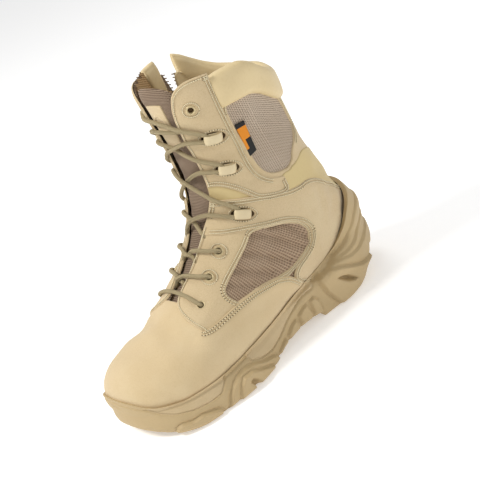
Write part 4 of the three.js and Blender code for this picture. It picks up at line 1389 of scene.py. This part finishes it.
# The padded roll in section: share of the way from its seam up to the rim, and offset from the last.
ROLL = [
    (-0.05, -0.5), (-0.03, 1.2), (0.02, 3.0), (0.1, 4.6), (0.25, 5.6), (0.45, 6.0), (0.65, 5.8),
    (0.82, 4.9),
    (0.94, 3.0), (1.0, 0.4), (1.02, -2.4), (0.99, -5.2), (0.9, -7.3), (0.74, -8.4), (0.5, -8.7),
    (0.25, -8.0),
    (0.05, -6.2), (-0.1, -4.0), (-0.14, -2.4),
]


def collar(name, node, first, last, seed):
    profile = spline(ROLL, 60)
    angles = np.arange(first, last + 0.01, 1.5)
    seam_row = row_at(angles, lambda p: rim_height(p) + COLLAR_DEPTH)
    rim_row = row_at(angles, rim_height)
    row = seam_row + (rim_row - seam_row) * profile[:, :1]
    degrees = np.broadcast_to(angles, row.shape)
    base = on_last(row, degrees)
    # the two ends are pinched, and the roll has soft puckers beside them
    share = (angles - first) / (last - first)
    from_start, from_end = share * (last - first), (1 - share) * (last - first)
    pinch = 1 - 0.45 * np.exp(-from_start / 5) - 0.45 * np.exp(-from_end / 5)
    offset = -1.2 + (profile[:, 1:] + 1.2) * pinch
    offset = offset + ripple(base, seed, 34, 0.45) + ripple(base, seed + 1, 14, 0.12)
    seam_line = np.exp(-(((profile[:, :1] - 0.9) / 0.03) ** 2)) * (profile[:, 1:] < 0)
    offset = offset + 0.5 * seam_line
    points = base + normals(row, degrees) * offset[..., None]
    faces = grid_faces(*row.shape).tolist()
    count = len(angles)
    faces.append([i * count for i in range(len(profile))])
    faces.append([i * count + count - 1 for i in range(len(profile))][::-1])
    uv = np.stack([degrees * 0.93, profile[:, :1] * 29 + 0 * degrees], -1).reshape(-1, 2)
    obj = add_mesh(name, points.reshape(-1, 3), faces, SMOOTH, uv=uv)
    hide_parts(node)
    return obj


collar("collar_roll", "collar_rear", 67, 260.5, 31)
collar("collar_roll_front", "collar_front", 279.5, 293, 37)


# ---------------------------------------------------------------- tongue
TONGUE_TOP = 258.0


def tongue():
    half = 120
    across = np.linspace(-1, 1, 61)
    top_row = float(row_at(np.array([0.0]), lambda p: p[:, 2] - TONGUE_TOP, 12)[0])
    shares = np.concatenate([np.linspace(0, 0.96, half), np.linspace(0.965, 1, 10)])
    row = (5.75 + (top_row - 5.75) * shares)[:, None] + 0 * across
    droop = smoothstep(shares, 0.9, 1.0)[:, None] * np.abs(across) ** 3
    row = row - 0.35 * droop
    spread = (THROAT(row) + 11) * (1 - 0.1 * smoothstep(shares, 0.9, 1)[:, None])
    degrees = across * spread
    base = on_last(row, degrees)
    puff = 1.2 * smoothstep(row, 8, 11) * (1 - np.abs(across) ** 2) + 0.8 * smoothstep(row, 14.8, 15.4)
    rolled = np.sqrt(np.clip(1 - np.clip((shares - 0.94) / 0.06, 0, 1) ** 2, 0, 1))[:, None]
    ribs = 0.35 * np.sin(row * 2 * math.pi / 0.55) * (row < 12.4)
    mid = -4.6
    front = mid + (1.9 + puff + ribs * 0.4) * rolled
    rear = mid - (2.6 + 0.5 * puff) * rolled
    front += ripple(base, 41, 24, 0.35)
    pinch = np.sqrt(np.clip(1 - np.abs(across) ** 8, 0, 1))
    front = mid + (front - mid) * pinch
    rear = mid + (rear - mid) * pinch
    normal = normals(row, degrees)
    outside = base + normal * front[..., None]
    back_side = base + normal * rear[..., None]
    faces = grid_faces(*row.shape)
    count = row.size
    points = np.concatenate([outside.reshape(-1, 3), back_side.reshape(-1, 3)])
    uv = skin_uv(row, degrees).reshape(-1, 2)
    both = np.concatenate([faces, faces[:, ::-1] + count])
    kinds = np.repeat([0, 1], len(faces))
    obj = add_mesh(
        "tongue_cloth", points, both, [TONGUE_MESH, LINING_SHADED], uv=np.concatenate([uv, uv]), indices=kinds
    )
    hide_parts("tongue")
    return obj


tongue()


def tongue_patch():
    """The suede piece on the tongue, with a blank rounded badge pressed into it."""
    shares, across = np.linspace(0, 1, 80), np.linspace(-1, 1, 48)
    row = (12.5 + 2.5 * shares)[:, None] + 0 * across
    degrees = across * (12.8 - 1.2 * shares[:, None])
    base = on_last(row, degrees)
    puff = 1.2 * (1 - (degrees / (THROAT(row) + 11)) ** 2) + 0.8 * smoothstep(row, 14.8, 15.4)
    edge = np.minimum(np.minimum(shares, 1 - shares)[:, None] * 42, (1 - np.abs(across)) * 10)
    rolled = np.sqrt(np.clip(1 - (1 - np.clip(edge / 0.9, 0, 1)) ** 2, 0, 1))
    badge = np.hypot((row - 14.0) * 17 / 8.0, degrees * 0.8 / 5.6)
    relief = 0.6 * np.exp(-(((badge - 1) / 0.12) ** 2)) - 0.25 * (badge < 0.9)
    offset = -2.7 + puff + 1.5 * rolled - 0.4 + relief + ripple(base, 41, 24, 0.35)
    points = base + normals(row, degrees) * offset[..., None]
    uv = skin_uv(row, degrees).reshape(-1, 2)
    obj = add_mesh("tongue_patch", points.reshape(-1, 3), grid_faces(80, 48), SUEDE, uv=uv)
    return obj


tongue_patch()


# ---------------------------------------------------------------- insole
def insole():
    stations = np.linspace(-114, 126, 90)
    across = np.linspace(-1, 1, 31)
    outer, inner = SOLE["outer"](stations), SOLE["inner"](stations)
    inset = 12 + 10 * smoothstep(-stations, 96, 114) + 10 * smoothstep(stations, 100, 126)
    middle = (outer + inner) / 2
    half = (outer - inner) / 2 - inset
    round_front = np.sqrt(np.clip(1 - ((-96 - stations) / 18).clip(0, 1) ** 2, 0, 1))
    round_back = np.sqrt(np.clip(1 - ((stations - 96) / 30).clip(0, 1) ** 2, 0, 1))
    half = half * np.maximum(round_front * round_back, 0.02)
    height = np.clip(25 + (stations + 96) * 0.098, 25, 47) + 0.3
    x = middle[:, None] + half[:, None] * across
    y = stations[:, None] + 0 * across
    z = height[:, None] + 1.6 * np.abs(across) ** 4
    points = np.stack([x - OUTLINE_CENTRE[0], y - OUTLINE_CENTRE[1], z], -1).reshape(-1, 3)
    obj = add_mesh("insole_cloth", points, grid_faces(90, 31)[:, ::-1], LINING_SHADED, uv=points[:, :2])
    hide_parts("insole")
    return obj


insole()


# ---------------------------------------------------------------- eyelets and loops
def frame_at(row, degrees):
    """A point of the last with its sideways, climbing and outward directions."""
    rows, angles = np.array([float(row)]), np.array([float(degrees)])
    point = on_last(rows, angles)[0]
    round_ = slopes(rows, angles)[1][0]
    normal = normals(rows, angles)[0]
    sideways = round_ / np.linalg.norm(round_)
    if degrees > 180:
        sideways = -sideways
    climb = np.cross(normal, sideways)
    if climb[2] < 0:
        climb = -climb
    return point, sideways, climb, normal


EYELET_RIM = [
    (2.5, -1.8), (2.55, 0.2), (2.75, 0.85), (3.2, 1.2), (3.8, 1.2), (4.3, 0.8), (4.55, 0.1),
    (4.6, -0.6),
]


def facing_level(row):
    return 2.4 if row > 8.2 else 1.6


def eyelets():
    pile = Pile()
    turn = np.linspace(0, 2 * math.pi, 28, endpoint=False)
    for _, row, angle, kind in LACING:
        if kind != "eyelet":
            continue
        for degrees in (angle, 360 - angle):
            point, sideways, climb, normal = frame_at(row, degrees)
            around = np.cos(turn)[:, None] * sideways + np.sin(turn)[:, None] * climb
            origin = point + normal * facing_level(row)
            rings = [origin + r * around + n * normal for r, n in EYELET_RIM]
            pile.add(np.concatenate(rings), grid_faces(len(rings), 28, True))
            pile.add(origin + 2.6 * around - 1.5 * normal, [list(range(28))], kind=1)
    return pile.build("eyelet_rims", [METAL, SLIT])


def lacing_nodes(wanted):
    """The names of the solids of one kind of lace hole, on both sides."""
    numbers = [name for name, _, _, kind in LACING if kind == wanted]
    return [f"{wanted}_{side}_{number}" for side in ("outer", "inner") for number in numbers]


rims = eyelets()
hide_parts(*lacing_nodes("eyelet"))

# The folded strap of a loop: how far sideways from the slit's middle, and how far off the last.
STRAP = [
    (7.5, 0.6), (6.0, 3.4), (2.5, 5.6), (-2.5, 6.4), (-6.0, 5.9), (-7.4, 4.3), (-6.2, 2.7),
    (-2.5, 1.7), (2.5, 1.0), (6.5, 0.4),
]


def loops():
    straps, patches = Pile(), Pile()
    for _, row, angle, kind in LACING:
        if kind != "loop":
            continue
        for degrees in (angle, 360 - angle):
            point, sideways, climb, normal = frame_at(row, degrees)
            lean = LOOP_LEAN
            across = sideways * math.cos(lean) + climb * math.sin(lean)
            path = [point + across * x + normal * (n + 0.9) for x, n in spline(STRAP, 44)]
            points, faces, uv = tube(path, 4.1, 20, 0.2, up=normal)
            straps.add(points, faces, uv)
            oval = ring_on_skin(row, angle, 5.4, 11.2, LOOP_LEAN, 30)
            oval = oval if degrees < 180 else mirrored(oval)
            oval = np.array(oval)
            centre = np.array([[row, degrees]])
            flat = np.concatenate([oval, centre])
            height = 0.75
            sheet = on_last(flat[:, 0], flat[:, 1]) + normals(flat[:, 0], flat[:, 1]) * height
            patches.add(sheet, [[i, (i + 1) % 30, 30] for i in range(30)])
    strap = straps.build("loop_straps", [LOOP_LEATHER])
    patch = patches.build("slit_shadows", [SLIT])
    return strap


straps_object = loops()
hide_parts(*lacing_nodes("loop"))


# ---------------------------------------------------------------- laces
LACE_RADIUS = 1.9


def lace_line(steps):
    """A lace through (row, angle, offset) steps; negative angles lie on the inner side."""
    fine = spline(steps, 12 * len(steps))
    points = on_last(fine[:, 0], fine[:, 1] % 360) + normals(fine[:, 0], fine[:, 1] % 360) * fine[:, 2:]
    length = np.linalg.norm(np.diff(points, axis=0), axis=1).sum()
    share = np.concatenate([[0], np.cumsum(np.linalg.norm(np.diff(points, axis=0), axis=1))]) / length
    even = np.linspace(0, 1, int(length / 0.9))
    return np.stack([np.interp(even, share, points[:, k]) for k in range(3)], -1)


def crossing(low, high, side, over):
    """The lace from lace hole low on the other side to lace hole high on this one."""
    _, low_row, low_angle, low_kind = low
    _, high_row, high_angle, high_kind = high
    middle = (low_row + high_row) / 2
    middle_offset = 3.2 + (1.9 if over else -1.9)
    throat = float(THROAT(middle))
    if low_kind == "eyelet":
        begin = [
            (low_row, -side * low_angle, -0.6),
            (low_row + 0.1, -side * (low_angle - 8), -1.0),
            (low_row + 0.26, -side * (throat + 2), -0.5),
            (low_row + 0.4, -side * (throat - 3), 1.6),
        ]
    else:
        begin = [
            (low_row + 0.02, -side * (low_angle - 2.2), 4.6),
            (low_row + 0.2, -side * (low_angle - 5), 4.7),
            (low_row + 0.34, -side * (throat + 6), 4.9),
            (low_row + 0.5, -side * (throat - 2), 4.2),
        ]
    if high_kind == "eyelet":
        end = [
            (high_row - 0.28, side * (throat - 1), 4.8),
            (high_row - 0.16, side * (high_angle - 11), 5.0),
            (high_row - 0.05, side * (high_angle - 3.4), 4.9),
            (high_row, side * (high_angle + 0.4), 3.0),
            (high_row + 0.02, side * (high_angle + 0.6), 0.2),
        ]
    else:
        end = [
            (high_row - 0.46, side * (throat - 2), 4.6),
            (high_row - 0.34, side * (throat + 6), 4.9),
            (high_row - 0.18, side * (high_angle - 5), 4.7),
            (high_row - 0.02, side * (high_angle - 2.2), 4.6),
        ]
    return lace_line(begin + [(middle, 0.0, middle_offset)] + end)


def laces():
    pile = Pile()
    lines = [
        lace_line([
            (6.12, -34.9, 0.2), (6.12, -34.0, 3.0), (6.1, -31, 4.8), (6.12, -18, 4.6), (6.14, 0, 3.4),
            (6.12, 18, 4.6), (6.1, 31, 4.8), (6.12, 34.0, 3.0), (6.12, 34.9, 0.2),
        ])
    ]
    for number in range(5):
        low, high = LACING[number], LACING[number + 1]
        for side in (1, -1):
            lines.append(crossing(low, high, side, (side > 0) == (number % 2 == 0)))
    top = LACING[5]
    lines.append(lace_line([
        (13.42, 46, 4.6), (13.62, 41, 4.7), (13.75, 30, 4.9), (13.85, 22, 4.6), (14.0, 8, 2.2),
        (14.2, -8, 2.0),
        (14.4, -22, 4.2), (14.6, -34, 5.0), (14.82, -40, 4.6), (14.86, -42, 2.2), (14.86, -42, 0),
    ]))
    lines.append(lace_line([
        (13.42, -46, 4.6), (13.6, -41, 4.7), (13.7, -30, 4.9), (13.75, -22, 4.4), (13.72, -6, 4.6),
        (13.65, 8, 3.6), (13.6, 18, 1.0), (13.6, 26, -1.0), (13.6, 34, -1.2),
    ]))
    for line in lines:
        points, faces, uv = tube(line, LACE_RADIUS, 12)
        pile.add(points, faces, uv)
    return pile.build("lace_cord", [LACE])


lace_object = laces()
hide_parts("lace_bar", *[f"lace_cross_{number}" for number in range(1, 6)])


# ---------------------------------------------------------------- zip
def zip_parts():
    pile = Pile()
    # the tape under the slit, and up both arms of the V
    rows = np.arange(ZIP_START - 0.2, ZIP_TOP + 0.01, 0.1)
    angles = np.linspace(ZIP_ANGLE - 6.5, ZIP_ANGLE + 6.5, 12)
    row, degrees = (a.ravel() for a in np.meshgrid(rows, angles, indexing="ij"))
    points = on_last(row, degrees) - normals(row, degrees) * 0.6
    pile.add(points, grid_faces(len(rows), len(angles)), skin_uv(row, degrees))
    arm_rows = np.arange(ZIP_TOP - 0.1, 16.2, 0.08)
    for side in (1, -1):
        edge = ZIP_ANGLE + side * zip_half(arm_rows)
        shares = np.linspace(-0.6, 1, 6)
        row = arm_rows[:, None] + 0 * shares
        degrees = edge[:, None] - side * 4.2 * shares
        row, degrees = row.ravel(), degrees.ravel()
        points = on_last(row, degrees) - normals(row, degrees) * 0.4
        pile.add(points, grid_faces(len(arm_rows), 6), skin_uv(row, degrees))
    # the teeth: joined below the slider, apart above it
    box = np.array([(x, y, z) for x in (-1, 1) for y in (-1, 1) for z in (-1, 1)], float)
    box_faces = [[0, 1, 3, 2], [4, 6, 7, 5], [0, 4, 5, 1], [2, 3, 7, 6], [0, 2, 6, 4], [1, 5, 7, 3]]
    joined = np.arange(ZIP_START, ZIP_TOP - 0.15, 0.085)
    places = [(r, ZIP_ANGLE + 0.5 * (1 if i % 2 else -1)) for i, r in enumerate(joined)]
    for side in (1, -1):
        for r in np.arange(ZIP_TOP + 0.1, 16.1, 0.12):
            places.append((r, ZIP_ANGLE + side * (float(zip_half(r)) - 4.4)))
    for r, angle in places:
        point, sideways, climb, normal = frame_at(r, angle)
        scale = (1.9, 0.52, 0.7)
        corners = point + box[:, :1] * scale[0] * sideways + box[:, 1:2] * scale[1] * climb
        pile.add(corners + (box[:, 2:] * scale[2] - 0.1) * normal, box_faces, kind=1)
    return pile.build("zip_tape_and_teeth", [TAPE, TEETH], smooth=False)


zip_object = zip_parts()
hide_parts("zip")


def placket(name, side, seed):
    """The leather strip beside the zip."""
    near, far = ZIP_ANGLE + side * 5.6, ZIP_ANGLE + side * 17
    corners = [(9.2, near), (14.5, near), (15.4, near + side * 2.4), (15.5, far), (9.2, far)]
    outline = rounded(corners, keep=(0, 4))
    outline = outline if side > 0 else outline[::-1]
    return panel(name, outline, SUEDE, 2.9, (), seed=seed)


placket("zip_placket_rear", -1, 51)
placket("zip_placket_front", 1, 52)


# ---------------------------------------------------------------- side label
def label():
    corners = np.array([(14.1, 70.7), (14.33, 79.6), (12.87, 76.4), (12.48, 68.8)])
    u, v = np.meshgrid(np.linspace(0, 1, 13), np.linspace(0, 1, 25))
    u, v = u.ravel()[:, None], v.ravel()[:, None]
    spot = (corners[0] * (1 - u) + corners[1] * u) * (1 - v) + (corners[3] * (1 - u) + corners[2] * u) * v
    height = 1.5 + 0.3 * np.sin(v[:, 0] * 3.1)
    points = on_last(spot[:, 0], spot[:, 1]) + normals(spot[:, 0], spot[:, 1]) * height[:, None]
    faces = grid_faces(25, 13)
    middle_v = v[faces, 0].mean(1)
    middle_u = u[faces, 0].mean(1)
    block = (middle_v > 0.14) & (middle_v < 0.5)
    tail = (middle_v >= 0.5) & (middle_v < 0.8) & (middle_u < 0.34)
    orange = block | tail
    obj = add_mesh(
        "side_label", points, faces[:, ::-1], [BLACK_WEB, ORANGE_WEB],
        uv=np.concatenate([u * 12, v * 24], -1), indices=orange.astype(int),
    )
    thick = obj.modifiers.new("thickness", "SOLIDIFY")
    thick.thickness = 0.8 * MM
    return obj


label()


def zip_tab():
    """The rounded leather tab behind the top of the zip."""
    shares = np.linspace(0, 1, 30)
    across = np.linspace(-1, 1, 21)
    row = (15.0 + 1.15 * shares)[:, None] + 0 * across
    width = 8.5 * np.sqrt(np.clip(1 - ((shares - 0.55).clip(0) / 0.46) ** 2, 0.02, 1))[:, None]
    degrees = 262 + across * width
    base = on_last(row, degrees)
    points = base - normals(row, degrees) * (4.5 + 1.5 * np.abs(across[:, None].T) ** 2)[..., None]
    uv = skin_uv(row, degrees).reshape(-1, 2)
    obj = add_mesh("zip_top_tab", points.reshape(-1, 3), grid_faces(30, 21), SMOOTH, uv=uv)
    thick = obj.modifiers.new("thickness", "SOLIDIFY")
    thick.thickness = 2.0 * MM
    thick.offset = 0
    return obj


zip_tab()


# ---------------------------------------------------------------- slider and pull tab
for node in ("zip_slider", "zip_pull"):
    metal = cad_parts[node]
    metal.data.materials.clear()
    metal.data.materials.append(ZIP_METAL)
    bevel = metal.modifiers.new("soft_edges", "BEVEL")
    bevel.width = 0.3 * MM
    bevel.segments = 2


# ---------------------------------------------------------------- floor, light and camera
def stage_piece(name, points, faces, material):
    mesh = bpy.data.meshes.new(name)
    mesh.from_pydata(points, [], faces)
    mesh.materials.append(material)
    obj = bpy.data.objects.new(name, mesh)
    bpy.context.scene.collection.objects.link(obj)
    return obj


FLOOR_PAINT = Paint("floor", "#f4f4f4", 0.9)
FLOOR_PAINT.shader.inputs["Emission Color"].default_value = (1, 1, 1, 1)
FLOOR_PAINT.shader.inputs["Emission Strength"].default_value = 0.34
FLOOR_CORNERS = [(-6, -6, 0), (6, -6, 0), (6, 6, 0), (-6, 6, 0)]
stage_piece("floor", FLOOR_CORNERS, [(0, 1, 2, 3)], FLOOR_PAINT.material)

world = bpy.data.worlds.new("studio")
world.use_nodes = True
world.node_tree.nodes["Background"].inputs["Color"].default_value = (1, 1, 1, 1)
world.node_tree.nodes["Background"].inputs["Strength"].default_value = 0.5
bpy.context.scene.view_settings.view_transform = "Standard"
bpy.context.scene.world = world


def softbox(name, place, target, size, power, tint=(1, 1, 1)):
    light = bpy.data.lights.new(name, "AREA")
    light.shape = "DISK"
    light.size = size
    light.energy = power
    light.color = tint
    lamp = bpy.data.objects.new(name, light)
    lamp.location = place
    lamp.rotation_euler = (Vector(place) - Vector(target)).to_track_quat("Z", "Y").to_euler()
    bpy.context.scene.collection.objects.link(lamp)
    return lamp


softbox("key", (-0.35, -1.1, 1.5), (0, 0, 0.1), 0.45, 20, (1, 0.985, 0.96))
softbox("fill", (1.6, 0.9, 0.9), (0, 0, 0.12), 1.0, 5)
softbox("top", (-0.6, 0.3, 1.6), (0, 0, 0.2), 0.7, 5)

# The camera looks down at the outer side from in front, and is rolled so that the shaft leans left.
AZIMUTH, ELEVATION, ROLL = 59.73, 22.5, 24.16
DISTANCE = 1.0
FOCAL = 2.375  # focal length over the width of the frame
SENSOR = 36.0
AIM = Vector((-0.76, -16.55, 115)) * MM
AIM_OFFSET = (0.0335088, 0.0013158)  # aim point left of and above the middle, over the focal length

azimuth, elevation, roll = (math.radians(v) for v in (AZIMUTH, ELEVATION, ROLL))
back = Vector((
    math.sin(azimuth) * math.cos(elevation),
    -math.cos(azimuth) * math.cos(elevation),
    math.sin(elevation),
))
level_right = Vector((math.cos(azimuth), math.sin(azimuth), 0))
level_up = back.cross(level_right)
right = level_right * math.cos(roll) - level_up * math.sin(roll)
up = level_right * math.sin(roll) + level_up * math.cos(roll)
position = AIM + back * DISTANCE
forward = (-back + right * AIM_OFFSET[0] + up * AIM_OFFSET[1]).normalized()
right = (right - forward * right.dot(forward)).normalized()
up = right.cross(forward)
camera_data = bpy.data.cameras.new("camera")
camera_data.sensor_width = SENSOR
camera_data.lens = FOCAL * SENSOR
camera_data.clip_end = 30
camera = bpy.data.objects.new("camera", camera_data)
matrix = Matrix((right, up, -forward)).transposed().to_4x4()
matrix.translation = position
camera.matrix_world = matrix
bpy.context.scene.collection.objects.link(camera)
bpy.context.scene.camera = camera
